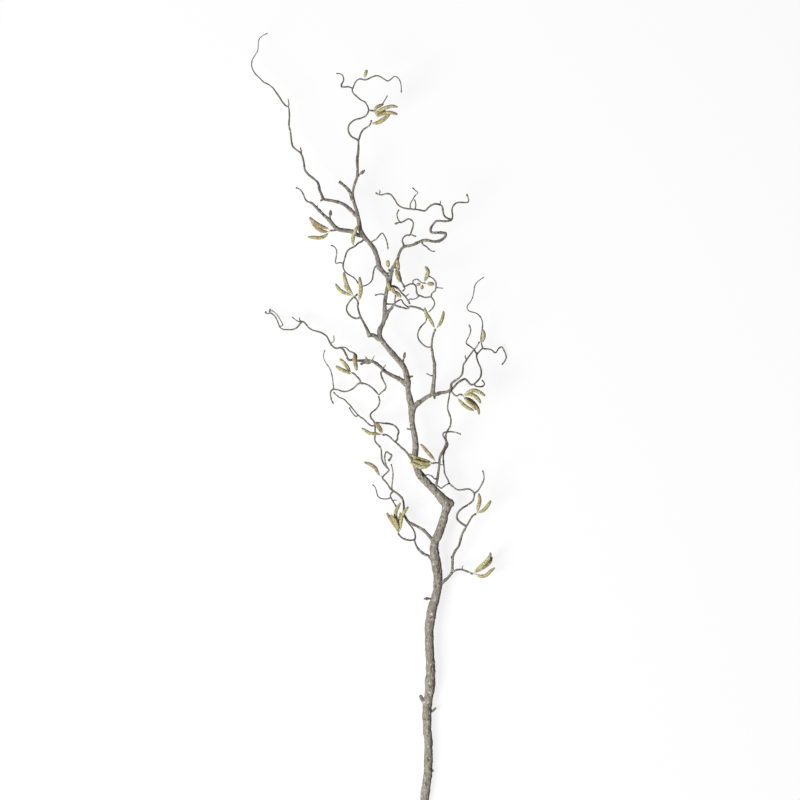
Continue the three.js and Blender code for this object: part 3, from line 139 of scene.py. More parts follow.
# Side twigs: name, parent, radii and heights at even steps from base to tip, and the route seen from above.
TWIGS = (
    ("low_right", "stem", (2.5, 2.2, 2), (21, 22, 23),
     "22,336 28,342 35,348 41,356"),
    ("low_right_spur", "low_right", (1.6, 1.4, 1.2), (25, 27),
     "48,359.5 55,360 60,358.5 66,356 72,353.4"),
    ("low_right_rise", "low_right", (2.1, 1.9, 1.8, 1.9, 1.5, 1.3), (26, 30, 36, 40, 44),
     "41.5,372 42.3,380 45.4,388 51,396 53,403 56,414 61,423 67,434 71.5,441 77,444.5"),
    ("low_right_weave", "low_right_rise", (1.6, 1.4, 1.3, 1.2), (43, 47, 51, 51),
     "54.6,430 49,435.5 47.7,440 50,447 55.4,452.3 64,457.7 71.5,464 73.8,471 74,475"),
    ("low_right_tip", "low_right_weave", (1.2, 1.1, 0.9), (56, 61, 65),
     "79,479 83,485 86,491 88,496 88,503 86,510"),
    ("right_climber", "low_right_weave", (1.2, 1.1, 1.1, 1.2, 1.3, 1.3, 1.2, 1),
     (47, 44, 42, 44, 46, 48, 48, 47),
     "69,480 65,481.6 56,480.5 48.5,480.5 43,484 37,489.5 34,496 29.5,505 28.7,514 27.5,524 27.8,533 "
     "30,540 33.7,546 34,550 32,554 31,560 32,565 33.7,569 37.7,576 38.8,585 36.8,593 34,601 34,608 "
     "35.5,616 36.5,622 37.5,629"),
    ("knee_twig", "stem", (2.1, 1.8, 2, 1.6, 1.3, 0.9), (44, 50, 55, 57, 58, 60),
     "16,486 18,493 19,500 20,507 21,515 21.5,522 22,528 24,533 27,539 30,545 31.5,551 30.5,556 28,560 "
     "26.5,563 28,566 31.5,567 39,567.5 47.5,566 54,563.5"),
    ("knee_hook", "knee_twig", (1.1, 1.1, 0.9), (52, 55, 56),
     "14,497 10,501 5,503 0,502"),
    ("knee_link", "knee_twig", (1.1, 1, 0.9), (46, 49, 52),
     "21,485 24,482.5 29,486 33,488.5 36,490"),
    ("knee_stalk", "knee_twig", (1.3, 1.2), (55, 57),
     "17,521 11,520"),
    ("low_left", "stem", (2.4, 2, 1.6, 1.4, 1.2), (24, 23, 26, 28),
     "11,375 6,380 -2,384 -10,391 -14,398 -16,404 -22,404 -30,405.7 -36,409 -40.5,414.5"),
    ("low_left_whip", "low_left", (1.5, 1.3, 1), (16, 11, 8),
     "-14.6,408 -15,414 -18,421 -22,426 -25,430"),
    ("left_shoot", "stem", (2.7, 2.3, 2, 2.1, 1.7, 1.6, 1.4), (27, 22, 18, 17, 20, 24),
     "13,403 5,412 -2,419 -10,424 -17,427.5 -25,432 -29,438 -31.5,443 -31.5,452 -32.3,461 -35,468 "
     "-42,474.5 -50,480"),
    ("left_climber", "left_shoot", (1.4, 1.2, 1.2, 1.3, 1.2, 1.3, 1.4, 1.2, 1),
     (22, 18, 15, 13, 14, 18, 22, 26, 28),
     "-53,483 -56,488 -60,493 -64,498 -61,502 -57,506 -54,510 -59,515 -63,521 -65,527 -65.5,535 -66,541 "
     "-69,546 -73,550 -75.5,555 -75,562 -75,570 -75,577 -77,583 -81,588 -82,593 -79,597 -74,601 -70,606 "
     "-68,612 -69,618 -70,621"),
    ("left_whip", "left_shoot", (1.1, 1, 0.8), (30, 34, 36),
     "-49.5,488 -48.5,496 -48,504 -49,512 -51,519"),
    ("left_back", "left_shoot", (1.3, 1.2, 1.1), (18, 11, 8),
     "-52,472 -48.5,463 -43,454"),
    ("left_back_curl", "left_back", (1, 0.9, 0.8), (15, 18, 24, 30),
     "-55,466.5 -61,466 -67,467 -71,471 -73,478 -75,484 -79,488"),
    ("left_ring", "left_climber", (1.1, 1.1, 1.4), (20, 26, 28, 25),
     "-55,511 -58,516 -60,523 -60.5,530 -59,536 -57,537 -53,534 -50,532 -52,527 -55,523"),
    ("mid_left_spur", "stem", (2.2, 1.8, 1.5, 1.3, 1.2), (43, 47, 50, 52),
     "-16,519 -20,526 -25,533 -31,540 -37,545 -42,550 -46,553 -51,558 -56,562 -61,563 -64,562.3"),
    ("mid_left_arc", "mid_left_spur", (1.5, 1.4, 1.3, 1.1), (42, 37, 34, 31),
     "-41.5,556 -41,562 -39.5,567 -41,571 -44,575 -49,578 -55,579.5 -62,580 -70,581 -74,581"),
    ("far_left_low", "left_climber", (1.2, 1.1, 1, 0.9), (17, 14, 12, 10, 9),
     "-80,576 -86,580 -92,586 -98,590 -103,595 -108,601 -112,606 -117,611 -122,616 -129,619 -135,624 "
     "-138,627"),
    ("far_left_fork", "far_left_low", (1, 0.9, 0.8), (16, 20),
     "-103,590 -108,594 -112,600 -114,604"),
    ("left_branch", "stem", (4.2, 3, 2.6, 2.3, 2.4, 2.2, 1.8, 1.6, 1.5, 1.4, 1.3, 1.2, 1.2, 1.3),
     (50, 53, 52, 48, 42, 36, 30, 24, 20),
     "-28,639 -37,645.5 -45,649.5 -52,653 -59,657 -63,661 -67,665 -72,669 -77,672 -84,674 -92,674 "
     "-99,674 -108,675 -114,675 -116,677 -118,682 -121,688 -124,692 -127,693.5 -133,692.5 -138,695 "
     "-142,700 -145,706 -148,711 -152,714 -158,717 -165,719 -170,720.5 -175,724 -179,729 -182,732 "
     "-186,733"),
    ("left_strand", "left_branch", (2, 2, 1.5), (47, 43, 40),
     "-83,671 -92,671 -97,668"),
    ("left_over", "left_branch", (1.3, 1.1, 1), (53, 56, 54, 50),
     "-103,682 -108,686 -113,688 -117,692 -121,694 -127,693.5"),
    ("far_left_tip", "left_branch", (1.3, 1.1, 1, 0.9), (17, 13, 9, 6, 3.3, 2.2),
     "-189,728 -194,723 -200,721 -208,721 -214,721.5 -218,724 -221,731 -224,738 -228,743 -233,746 "
     "-238,745 -241,748.5"),
    ("far_left_strand", "far_left_tip", (0.9, 0.7, 0.6), (15, 20),
     "-214,728 -217,734 -221,741 -225,746 -231,750"),
    ("far_left_end", "left_branch", (1.1, 0.9, 0.7), (22, 26),
     "-190,733 -195,736 -200,740"),
    ("hanging", "left_branch", (1.4, 1.2, 1.1, 1.1, 1.2, 1.5, 1.2, 1.1, 1), (45, 40, 36, 30, 25, 21, 18),
     "-66,656 -65,650 -62,643 -59,637 -59,633 -62,629 -66,626 -69.5,623 -73,627 -78,632 -83,636 -89,639 "
     "-95,640 -99,640 -103,637 -107,633 -112,630 -118,628 -124,628 -130,630 -135,631 -140,630.5"),
    ("hanging_foot", "hanging", (1.2, 1.1, 1), (12, 8),
     "-142,627 -142,621 -141,616"),
    ("hanging_whip", "hanging", (1, 0.9, 0.7, 0.6), (24, 34, 40, 44),
     "-138,638 -139,648 -141,657 -144,664 -149,671 -152,678 -152,684 -150,690"),
    ("hanging_stalk", "hanging", (1.2, 1.3, 1.1), (34, 38),
     "-97,643 -100,648 -103,651 -106,654 -109.5,656"),
    ("right_branch", "stem", (4.3, 3.4, 2.9, 2.6, 2.2), (47, 51, 55, 58),
     "-20,597 -17,604 -12,609 -6,613 0,617.5 6,621 11,623.5 16,623 22,625.5 30,626.5 38,629"),
    ("riser", "right_branch", (3.2, 2.8, 2.6, 2.3, 1.8, 1.4, 1.2), (60, 66, 72, 77, 80),
     "12,632 13,642 14,652 14,662 14,670 12,678 11,686 10,692 10,700 11,708 13,715 15.5,721"),
    ("riser_loop", "riser", (1.3, 1.2, 1.1, 1), (69, 66, 64, 64),
     "4,694 -2,697 -7,702 -10,707 -11,713 -9,720 -5,726 0,731 2,736 1,742 0,746"),
    ("right_stalk", "right_branch", (1.5, 1.2, 1.3), (60, 64),
     "40,627 43,623.5 47,621 52,623.5 56,622.3"),
    ("right_high", "right_branch", (1.9, 1.6, 1.5, 1.3, 1.2, 1.1, 1), (64, 72, 82, 90, 96),
     "39,636 40,640 45,644 51,648 55,653 56.5,660 57,667 60,672 64,678 69,685 73,690 77,695 81,702"),
    ("right_low", "right_branch", (1.7, 1.5, 1.4, 1.3, 1.2), (53, 47, 41, 35, 29),
     "43,634 48,640 54,644 60,646.5 64,643 69,638 73,638.5 76,641 80,645 83,649 84.5,655 84,662 81,669 "
     "79,674 77.5,680 78,684"),
    ("right_hook", "right_low", (1.1, 1), (42, 47, 50),
     "76,636 80,635 85,635 89,638 88,642 85,645"),
    ("right_low_left", "right_low", (1.2, 1, 0.9), (34, 42, 48),
     "76,687 73.5,691 68,695.5 62,700 62,703 65,709 68,716 68.5,721"),
    ("right_low_tip", "right_low", (1.2, 1.1, 1, 1, 0.9), (23, 16, 10, 6, 2.6, -0.7),
     "82,688 86,692 90,692 96,691.5 101,690 104,687 106.5,686 111,692.5 116,695 119,690 122,683 "
     "122.5,679 120,673 116,668"),
    ("right_tall", "right_low_tip", (1, 1, 0.9, 0.8, 0.7), (30, 40, 48, 56, 60, 60),
     "85,700 84,708 85,715 86,722 86.5,729 85,736 82,741 77,745 70,747 65,749 63,752 64,757 68,762 "
     "71,768 73,776 74,784 76,789 81,794 88,799"),
    ("upper_left", "stem", (3, 3.2, 2.4, 1.6, 1.5, 1.3), (58, 60, 64, 67, 69),
     "-68.5,706 -77,712 -83,712.5 -86,719 -89,725 -92,731 -95,736 -97,741 -99,747 -100.5,753 -100.5,758 "
     "-99.8,761"),
    ("upper_left_stalk", "upper_left", (1.2, 1.1), (70, 72),
     "-103,766 -106,769"),
    ("upper_left_loop", "upper_left", (1.4, 1.2, 1.1), (57, 53, 53, 56),
     "-102,737 -108,738.5 -113,742 -116,746 -117.5,750 -117,756 -114,761 -110,766 -107,769 -104,771 "
     "-101,774"),
    ("stem_hook", "stem", (1.1, 0.9), (64, 68),
     "-65,773.5 -70,773 -75,771.5"),
    ("knob_twig", "stem", (1.3, 1.1, 1, 0.9), (58, 56, 54, 52, 52),
     "-74,815 -77,808 -78,801 -79,796 -82,791 -86,788 -91,786 -95,785 -98,780"),
    ("inner_cross", "stem", (3, 2.5, 1.8, 1.4, 1.5, 1.6, 1.2), (56, 58, 58, 60, 60),
     "-60,737 -56,746 -50,753 -47,757 -40,755 -32,753 -26,752 -23,755 -15,754 -8,752 -3,749.5 0,748"),
    ("inner_stalk", "inner_cross", (1.1, 1), (64, 69),
     "-45,766 -44,772"),
    ("inner_back", "stem", (1.2, 1.1, 1, 0.9), (53, 49, 48, 48),
     "-52,758.5 -47,759 -43,762 -38,765 -35,765 -33,761 -28,756 -24,754.5"),
    ("inner_slant", "stem", (1.7, 1.5, 1.3, 1.1), (66, 71, 73, 70),
     "-52,786 -46,785 -40,781 -35,775 -30,770 -27,766 -24,761 -23,758"),
    ("inner_slant_fork", "inner_slant", (1, 0.9), (77, 80),
     "-22,766 -18,765.5 -13,767 -9,771"),
    ("upper_right", "stem", (3.2, 2.7, 2.4, 2.2, 2.1, 2.1, 2.1, 2, 2, 1.9, 1.7, 1.5, 1.3),
     (68, 76, 83, 87, 89, 91, 93, 94),
     "-54.5,786 -52,797 -50,806 -49,812 -46,816 -44,820 -41,826 -39,833 -35,841 -30,844.5 -24,845 "
     "-17,847 -10,850.5 -3,853.5 5,853 12,851.5 20,852 26,855 30,859 30.5,863.5 25,864.5 18,864.5 "
     "11,864.5 8,867 9,872 12,877 16,881.5 22,882 30,881.5 36,882 40,884"),
    ("upper_right_stalk", "upper_right", (1.2, 1), (69, 73),
     "-53.5,808 -54,811"),
    ("inner_bow", "upper_right", (1.4, 1.3, 1.3, 1.2, 1.2, 1.1, 1.1, 1), (75, 80, 86, 89, 91, 93, 94),
     "-40,809 -37,799 -35,791 -30,785 -23,788 -17,788 -14,785 -13,779 -12,773 -9,771 -6,770 0,768 9,770 "
     "10,774 15,778 16,783 16,790 12,796 5,800"),
    ("inner_bow_drop", "inner_bow", (1.1, 1, 0.9), (92, 93, 94),
     "13,763 14,758 11,752 5,746"),
    ("inner_bow_fork", "inner_bow", (1, 0.9), (76, 76),
     "-33,785 -30,782 -34,777"),
    ("inner_arch", "inner_bow", (1, 0.9, 0.8), (92, 96, 96),
     "-18,793 -12,795 -8,792 -5,790 1,789"),
    ("return_twig", "upper_right", (1.4, 1.3, 1.2, 1.1), (98, 103, 107, 110, 112, 114),
     "38,884 33,886 29,889 27,894 26,900 25,904 20,906.5 15,907 10,905.5 5,902 0,897 -12,898.5 -20,899 "
     "-28,900 -34,901.5 -40,905 -44,911 -48,917 -52,921 -57,922 -62,921 -66,920 -70,921 -74,923.5"),
    ("return_fork", "return_twig", (1, 0.9, 0.8), (114, 118, 120),
     "-22,907 -18,914 -15,919 -11,923 -14,926 -19,930.5"),
    ("return_leg", "return_twig", (1, 0.8), (106, 102),
     "-14,906 -16,914"),
    ("right_crown", "upper_right", (1.2, 1.1, 1), (88, 83, 80, 79),
     "41,890 40,897 41,903 45,908 50,910 57,910 64,910.5 65,914 64,918 62,922.5"),
    ("side_curl", "upper_right", (1.4, 1.2, 1.1, 1.2), (85, 89, 92, 94),
     "-33,849 -34,854 -31,859 -27,861 -23,861 -20,868 -18,875 -18,880 -21,883.5 -25,885 -30,882.5 "
     "-35,880 -38,879.7"),
    ("side_curl_up", "side_curl", (1, 0.8), (97, 99),
     "-39,882 -41,886 -42,892 -39,899"),
    ("side_curl_right", "side_curl", (1, 0.8), (88,),
     "-18,860.5 -13,859"),
    ("crown_drop", "upper_right", (1.5, 1.2, 0.9, 0.8), (83, 79, 76),
     "-3,847 2,844 6,840 10,837.5 15,837"),
    ("top_arch", "stem", (1.1, 1, 0.9), (67, 71, 73, 71),
     "-78,853 -74,855 -70,859 -66,863.5 -64,864.5 -61,861 -58,854 -56,847"),
    ("top_cross", "stem", (1.4, 1.2, 1.1, 1), (73, 78, 81, 84, 85, 86),
     "-95,852 -100,849.5 -104,845.5 -109,842.5 -113,840.5 -117,836 -119,830 -121.5,821 -122.5,815 "
     "-121,809 -118,805 -112,801 -107,798 -103,794 -100,789"),
    ("top_cross_fork", "top_cross", (1, 0.9), (86, 90, 92),
     "-128,820 -133,819 -134,822 -133,827 -132,837 -134,842 -138,845 -141,845.5"),
    ("top_left_low", "stem", (3, 2.8, 3.3, 2.8, 2.5, 2.1, 1.5, 1.1, 0.8), (67, 71, 76, 80, 84),
     "-98,861 -108,866.5 -115,868 -122,869 -130,870.5 -135,874 -140,880 -145,886 -150,890 -155,895 "
     "-160,900 -163,903 -167,907 -171,910 -175,911 -179,915 -181,920 -184,926 -188,930 -193,932"),
    ("top_left_stalk", "top_left_low", (1.4, 1.2), (71, 73),
     "-134,868.7 -138,868.5 -142,868"),
    ("top_left", "stem", (2.7, 2.4, 2.2, 2.1, 1.8, 1.6, 1.5, 1.4, 1.3, 1.2, 1.2, 1.1, 1, 0.9, 0.8, 0.7, 0.6),
     (64, 60, 54, 48, 42, 38, 38, 42, 48, 52),
     "-103,891 -109,897.5 -116,903.5 -122,908 -130,911 -138,913 -146,914.5 -152,916 -155,923 -158,930 "
     "-159,936 -161,941 -165,945 -170,949 -176,954 -180,960 -181.5,970 -184,980 -187,986 -193,990 "
     "-198,995 -200,1001 -201,1009 -202,1018 -204,1026 -204,1033 -203.5,1040 -204,1050 -205,1055 "
     "-208,1056 -213,1061 -218,1069 -223,1076 -228,1083 -234,1088 -242,1092 -249,1099 -255,1105 "
     "-259,1112 -260,1118 -259,1125 -255,1132 -251,1139 -250,1147 -249.5,1153 -247,1158 -243,1161 "
     "-236,1165"),
    ("top_stump", "stem", (2.4, 2.4, 2.1, 1.8), (68, 70),
     "-108.5,915 -112.5,926 -118,933 -124,938 -129,942"),
    ("top_leader", "stem", (1.5, 1.3, 1.2, 1.1, 1), (73, 77, 81, 83, 82, 80),
     "-103,1005 -110,1009 -114,1015 -115,1020 -113,1027 -109,1031 -104,1034 -96,1036 -89,1039 -85,1045 "
     "-84.5,1049 -86,1054 -90,1060 -96,1063 -102,1068 -107,1073 -109,1078 -107,1083"),
    ("top_leader_left", "top_leader", (1, 1.3, 1, 0.8), (78, 75, 72),
     "-115,1083 -121,1082.5 -125,1083 -125,1086 -122,1092 -122,1097 -124,1101 -128,1103 -133,1103"),
    ("top_leader_right", "top_leader", (1, 1.1, 1, 0.9, 0.8), (82, 86, 88, 86, 82),
     "-105,1088 -101,1093 -96,1094.5 -91,1093 -86,1094 -82,1096 -77,1098 -72,1099 -66,1097 -60,1093 "
     "-56,1091 -52,1093 -46,1098 -42,1097 -38,1092 -36,1085 -35.5,1074"),
    ("top_stalk", "top_leader", (1.2, 1.1), (84, 85),
     "-80,1047 -77.5,1046.5"),
    ("top_thin", "top_stalk", (0.9, 0.8, 0.7), (80, 78, 80),
     "-74,1050 -67,1053 -62,1060 -59,1065 -56,1070"),
    ("top_right", "stem", (1.4, 1.2, 1.1), (68, 66, 66),
     "-98,1008 -96,1014 -92,1020 -87,1023 -83,1026 -81,1030 -80,1034"),
)

# Dead stubs, knobs and leaf scars: parent, radii, rise above the parent, route.
STUBS = (
    ("stem", (3, 2.6), 2, "-2,162 -7.5,171"),
    ("stem", (2, 1.6), 1, "10,146 17,152"),
    ("stem", (2.6, 1.6), 0, "9,56 13.5,57"),
    ("stem", (1.5, 1.5, 1.5, 2.5, 0.9), 2, "8,316 -2,316"),
    ("stem", (5.6, 4.8), 0, "36,459.5 44,460.5"),
    ("stem", (1.6, 1.2), 1, "-23,571 -27.5,572"),
    ("stem", (1.8, 1.4), 0, "-21,650 -18,651"),
    ("stem", (1.5, 1.2), 3, "-33,670 -32,675"),
    ("stem", (1.6, 1.3), 0, "-71,811.5 -72.5,811"),
    ("stem", (1.5, 1.2), 1, "-57,804 -53,806"),
    ("stem", (1.8, 1.6), 2, "-101,950 -98.5,951.5"),
    ("low_right_spur", (0.9, 0.7), 3, "56,363 57.5,366"),
    ("low_right_rise", (1.1, 0.8), 1, "40,376 39.5,381"),
    ("knee_twig", (0.8, 0.7), 1, "24,518 27,518"),
    ("left_back", (0.8, 0.6), -1, "-45,464.5 -42,463"),
    ("left_branch", (1, 0.7), 3, "-87,677 -90,680"),
    ("left_branch", (0.9, 0.7), 4, "-78,677 -76,681"),
    ("left_branch", (1.1, 0.8), 3, "-61,665 -59,668"),
    ("left_branch", (0.9, 0.7), 5, "-137,703 -137,712"),
    ("left_branch", (1, 0.8), 3, "-188.5,735.5 -189,739.5"),
    ("far_left_tip", (1.3, 1.1), 3, "-234,749 -233,752.5"),
    ("right_branch", (1.9, 1.4), 3, "14,619 15,616.5"),
    ("riser", (1.3, 1), 2, "8,651.5 5,653 2,655"),
    ("right_high", (0.9, 0.7), 3, "60,678 60,682"),
    ("upper_left", (2.3, 1.8), 0, "-84,711 -86,709.5"),
    ("top_left_low", (1.3, 1.1), 2, "-142,886 -141.7,889"),
    ("top_left_low", (0.8, 0.7), 1, "-161,903 -161,906"),
    ("top_left", (1.6, 1.2), 0, "-154,915 -157,912.5"),
    ("top_left", (1.4, 0.8), 2, "-185.5,986 -187,994"),
    ("top_left", (1.2, 0.7), 3, "-204.4,1058 -205.5,1067"),
    ("inner_bow", (0.9, 0.7), 2, "19,782.5 27,781.5"),
    ("inner_slant", (0.8, 0.6), 3, "-27,771.5 -24,774"),
    ("return_twig", (1.1, 0.9), 2, "-67,925 -69,927"),
    ("return_twig", (0.8, 0.7), 1, "23,909 22,912"),
)

# Catkins by cluster: the twig they hang from, then radius, heights above that twig, finish and route.
CATKINS = {
    "low_right": ("low_right_spur", (
        (3, (2, 5, 6), "green", "75,357 82,363 91,371 97.5,380 98.5,386"),
        (2.8, (-1, -3, -5), "green", "77,356 84,361 92,366 98,372 101,379"),
        (2.7, (0, 1, 4), "green", "76,353 84,350 91.5,351.5 99,358 105,363"),
    )),
    "right_fork": ("low_right_rise", (
        (2.8, (2, 5, 6), "green", "78,447 80,455 82,464 80.5,475"),
        (2.7, (0, -1, 0), "green", "80,446 87,449 93,455 99,464"),
    )),
    "low_left": ("low_left", (
        (2.7, (0, 1, 2), "tan", "-44,422 -47,429 -53,438 -57.5,445.5"),
        (2.9, (5, 8, 9), "green", "-40.5,416.5 -41.3,423.5 -43.5,431.5 -47.5,437.5 -51.5,442.5"),
        (2.8, (0, 2, 6), "green", "-40,423 -43,434 -44,446 -37,460.5"),
        (2.7, (4, 9, 12), "green", "-37,420.5 -36,433 -33.5,443 -25,455"),
        (1.9, (-3, 0, 3), "tan", "-38.5,424 -38.4,435 -37,446"),
    )),
    "left_climber": ("left_climber", (
        (2.7, (3, 5, 6), "tan", "-68.3,501.5 -71.5,507 -75.5,513.5 -83,518.5 -91.5,521.3"),
    )),
    "knee": ("knee_stalk", (
        (2.6, (4, 5, 5), "tan", "14.5,524.5 9,531 2,539 -3,545 -7,549"),
        (2.6, (2, 2, 3), "green", "8,522.5 0,524.5 -9,527 -17,531 -24,534"),
        (3.1, (0, -1, 0), "green", "8,518.2 1,515.3 -6,514.8 -14,518 -22,522"),
        (2.5, (5, 7, 8), "green", "7,520.5 -1,520.3 -10,522.3 -17,525.3"),
    )),
    "mid_left": ("mid_left_spur", (
        (2.5, (0, 2, 3), "green", "-66.5,563.2 -73.5,564.5 -82,565 -89,569 -95,573"),
        (3.3, (3, 8, 10), "tan", "-64.7,566.3 -67.5,571.5 -71.5,577.5 -75,580.5"),
    )),
    "right_branch": ("right_stalk", (
        (2.9, (5, 7, 7), "green", "60,624 68,628.3 75,629.2 82,626.2 90,621.2"),
        (3, (1, 2, 2), "green", "59,622.5 66,623.8 74,621 80,615.5 83,610"),
        (2.7, (-1, -3, -4), "tan", "59,619 67,615.5 74,609.5 79,602 81,593"),
        (2.6, (-3, -4, -5), "green", "50,616.5 56,609.5 64,603.5 73,599"),
        (2.4, (5, 6, 8), "green", "58.5,617.5 65,612 72,605.5 76,600"),
    )),
    "hanging": ("hanging_stalk", (
        (2.9, (0, -1, -2), "green", "-112.3,657.7 -117,665 -123,672 -128,677"),
        (2.8, (3, 3, 3), "green", "-112.3,654.2 -119,658 -126,661 -134,666"),
    )),
    "left_branch": ("left_over", (
        (3.1, (4.5, 5, 5), "tan", "-106,683.5 -105.5,677 -104,668 -102.5,659"),
    )),
    "riser": ("riser", (
        (2.6, (2, 4, 6), "green", "13.5,724 11,729 7,736 2,744 -1,753"),
        (2.5, (1, 3, 3), "green", "18,723.5 22,728.5 25,735 27,742 27.5,748"),
    )),
    "right_high": ("right_high", (
        (2.7, (3, 5, 5), "green", "84.8,701 86.6,706 87.6,712 86,720"),
    )),
    "upper_left": ("upper_left_stalk", (
        (2.9, (1, 3, 4), "green", "-99,764.5 -97,772 -96,782 -97,791 -98,799"),
        (2.9, (4, 5, 4), "green", "-108.5,773 -113,779 -117,787 -120,797 -121.5,806"),
        (2.6, (1, 0, -1), "green", "-110.5,771.5 -119,774.5 -127,779 -131,784 -134,789"),
        (2.3, (-2, -4, -5), "tan", "-109,774 -115,780 -121,786.5"),
    )),
    "inner": ("inner_stalk", (
        (2.7, (2, 6), "tan", "-45,774.5 -50,784"),
        (2.8, (0, 5), "green", "-52,778 -56.5,792"),
        (2.7, (-1, -2), "tan", "-36,768.5 -44.5,778"),
    )),
    "inner_bow": ("inner_bow", (
        (2.9, (4, 10), "green", "-39.5,808.5 -42,826"),
        (2.9, (6, 10), "green", "-38,791 -44,809"),
    )),
    "upper_right": ("upper_right_stalk", (
        (2.8, (1, 3), "green", "-55,813.5 -56,824"),
    )),
    "arch": ("inner_arch", (
        (3, (2, 4, 5), "green", "-1,792.5 2.6,800 4,807.5 0,814"),
        (2.4, (-3, -4), "tan", "-7,788.5 -13,786.5"),
        (2.4, (-3, -4), "tan", "-4,786.5 -5,780"),
        (3, (0, 1), "green", "3.2,788.7 13.5,787.5"),
    )),
    "top_cross": ("top_cross", (
        (2.9, (4, 5, 6), "green", "-107.5,847 -108,853 -106.5,862 -101,875"),
    )),
    "top_left": ("top_left_stalk", (
        (3, (3, 4, 4), "tan", "-145,871 -153,873.5 -160,877 -167,882 -173,888"),
        (3, (-1, -2, -2), "tan", "-145.7,866.9 -152,867 -160,871.3 -165.5,876.5 -170,882"),
        (2.8, (-4, -5, -4), "green", "-145.5,864 -151,859.5 -158,857.5 -166,858 -175,859"),
    )),
    "top": ("top_stalk", (
        (2.7, (4, 6, 6), "green", "-74.5,1042.7 -67.5,1047 -58.5,1051 -49,1053.2 -41,1052"),
        (2.4, (3, 3, 1), "tan", "-76.5,1044.5 -72,1052 -62,1056.5"),
        (2.3, (-2, -3, -4), "green", "-73,1040.5 -66,1043.5 -59,1048"),
        (2.7, (4, 5, 5), "tan", "-71.5,1038 -64,1041.5 -57,1043.8 -49,1043.3 -41,1041"),
    )),
    "top_right": ("top_right", (
        (3.2, (2, 5, 6), "green", "-78.5,1028 -70,1030 -63,1034 -56,1040 -52,1044.5"),
    )),
    "crown": ("top_leader_right", (
        (2.4, (3, 6), "green", "-90.5,1096.5 -87,1108"),
    )),
}

# Fat buds: parent, radius, rises, route.
BUDS = (
    ("stem", 2.4, (3, 4), "-97.4,952.6 -94,955 -90,959"),
    ("stem", 2, (3, 5), "-31.7,676.5 -30,687"),
    ("top_left_low", 2.4, (2, 4), "-141.8,889.5 -141,899"),
    ("side_curl", 1.7, (0, 0), "-39.5,879.4 -46,877.6"),
    ("right_low_left", 1.3, (0, 0), "68.3,722.5 65.5,728.5"),
    ("hanging_foot", 1.4, (0, 0), "-140.6,614.5 -137.5,609"),
    ("top_arch", 1.2, (0, 0), "-55.9,845.8 -55.4,840"),
)


# ---- curves ----


def along(values, share):
    """The value at a share of the way along a list of evenly spaced ones."""
    return np.interp(np.asarray(share) * (len(values) - 1), range(len(values)), values)


def read_route(text):
    return np.array([[float(number) for number in pair.split(",")] for pair in text.split()])


def run_of(points):
    """How far along a line of points each point is."""
    return np.concatenate(([0], np.cumsum(np.linalg.norm(np.diff(points, axis=0), axis=1))))


def raised(flat, heights, weave=0, phase=0):
    """A flat route's points with their heights, and with the weave of a contorted twig."""
    run = run_of(flat)
    swing = weave * np.sin(2 * math.pi * run / WEAVE_LENGTH + phase) * np.minimum(1, run / WEAVE_START)
    return np.column_stack((flat, along(heights, run / run[-1]) + swing))


def smooth_line(points, step):
    """Even steps on a smooth curve through the points, and each step's place in the list of points."""
    wide = np.vstack((2 * points[0] - points[1], points, 2 * points[-1] - points[-2]))
    share = np.arange(FINE_STEPS)[:, None] / FINE_STEPS
    line, places = [], []
    for i in range(len(points) - 1):
        a, b, c, d = wide[i : i + 4]
        ab, bc, cd = (math.sqrt(np.linalg.norm(gap)) for gap in (b - a, c - b, d - c))
        leave = ((b - a) / ab - (c - a) / (ab + bc) + (c - b) / bc) * bc
        arrive = ((c - b) / bc - (d - b) / (bc + cd) + (d - c) / cd) * bc
        square = 3 * (c - b) - 2 * leave - arrive
        cube = 2 * (b - c) + leave + arrive
        line.append(b + share * leave + share**2 * square + share**3 * cube)
        places.append(i + share[:, 0])
    line = np.vstack((*line, points[-1]))
    places = np.append(np.concatenate(places), len(points) - 1)
    run = run_of(line)
    even = np.linspace(0, run[-1], max(4, round(run[-1] / step)) + 1)
    return np.column_stack([np.interp(even, run, axis) for axis in line.T]), np.interp(even, run, places)


def rounded_end(run, radii):
    """Radii that close a line's last stretch to a round tip."""
    left = run[-1] - run
    tip = radii[-1]
    dome = np.sqrt(np.clip(1 - (1 - left / tip) ** 2, 0.02, 1))
    return np.where(left < tip, radii * dome, radii)


def with_round_tip(line, radii):
    """Adds the closely spaced points that a round tip needs to the end of a line."""
    run = run_of(line)
    tip = radii[-1]
    at = np.append(run[run < run[-1] - tip], run[-1] - tip * np.array((1, 0.75, 0.5, 0.28, 0.12, 0.03, 0)))
    finer = np.column_stack([np.interp(at, run, axis) for axis in line.T])
    return finer, rounded_end(at, np.interp(at, run, radii))


# ---- modelling helpers ----


def select_only(*objects):
    bpy.ops.object.select_all(action="DESELECT")
    for one in objects:
        one.select_set(True)
    bpy.context.view_layer.objects.active = objects[0]


def draw_path(name, line, radii, sides=0):
    """A path through a line of millimetre points. With sides it is a closed round tube on that path."""
    bpy.ops.object.select_all(action="DESELECT")
    bpy.ops.curve.primitive_nurbs_path_add(location=(0, 0, 0))
    path = bpy.context.object
    path.name = name
    spline = path.data.splines[0]
    spline.type = "POLY"
    spline.points.add(len(line) - len(spline.points))
    placed = (line + ROUTE_ORIGIN) * MM
    spline.points.foreach_set("co", np.column_stack((placed, np.ones(len(line)))).ravel())
    spline.points.foreach_set("radius", np.asarray(radii) * MM)
    path.data.twist_mode = "MINIMUM"
    if sides:
        path.data.bevel_depth = 1
        path.data.bevel_resolution = sides // 2 - 2
        path.data.use_fill_caps = True
        bpy.ops.object.convert(target="MESH")
        path = bpy.context.object
        apply_modifier(path, "WELD", merge_threshold=1e-6)
    return path


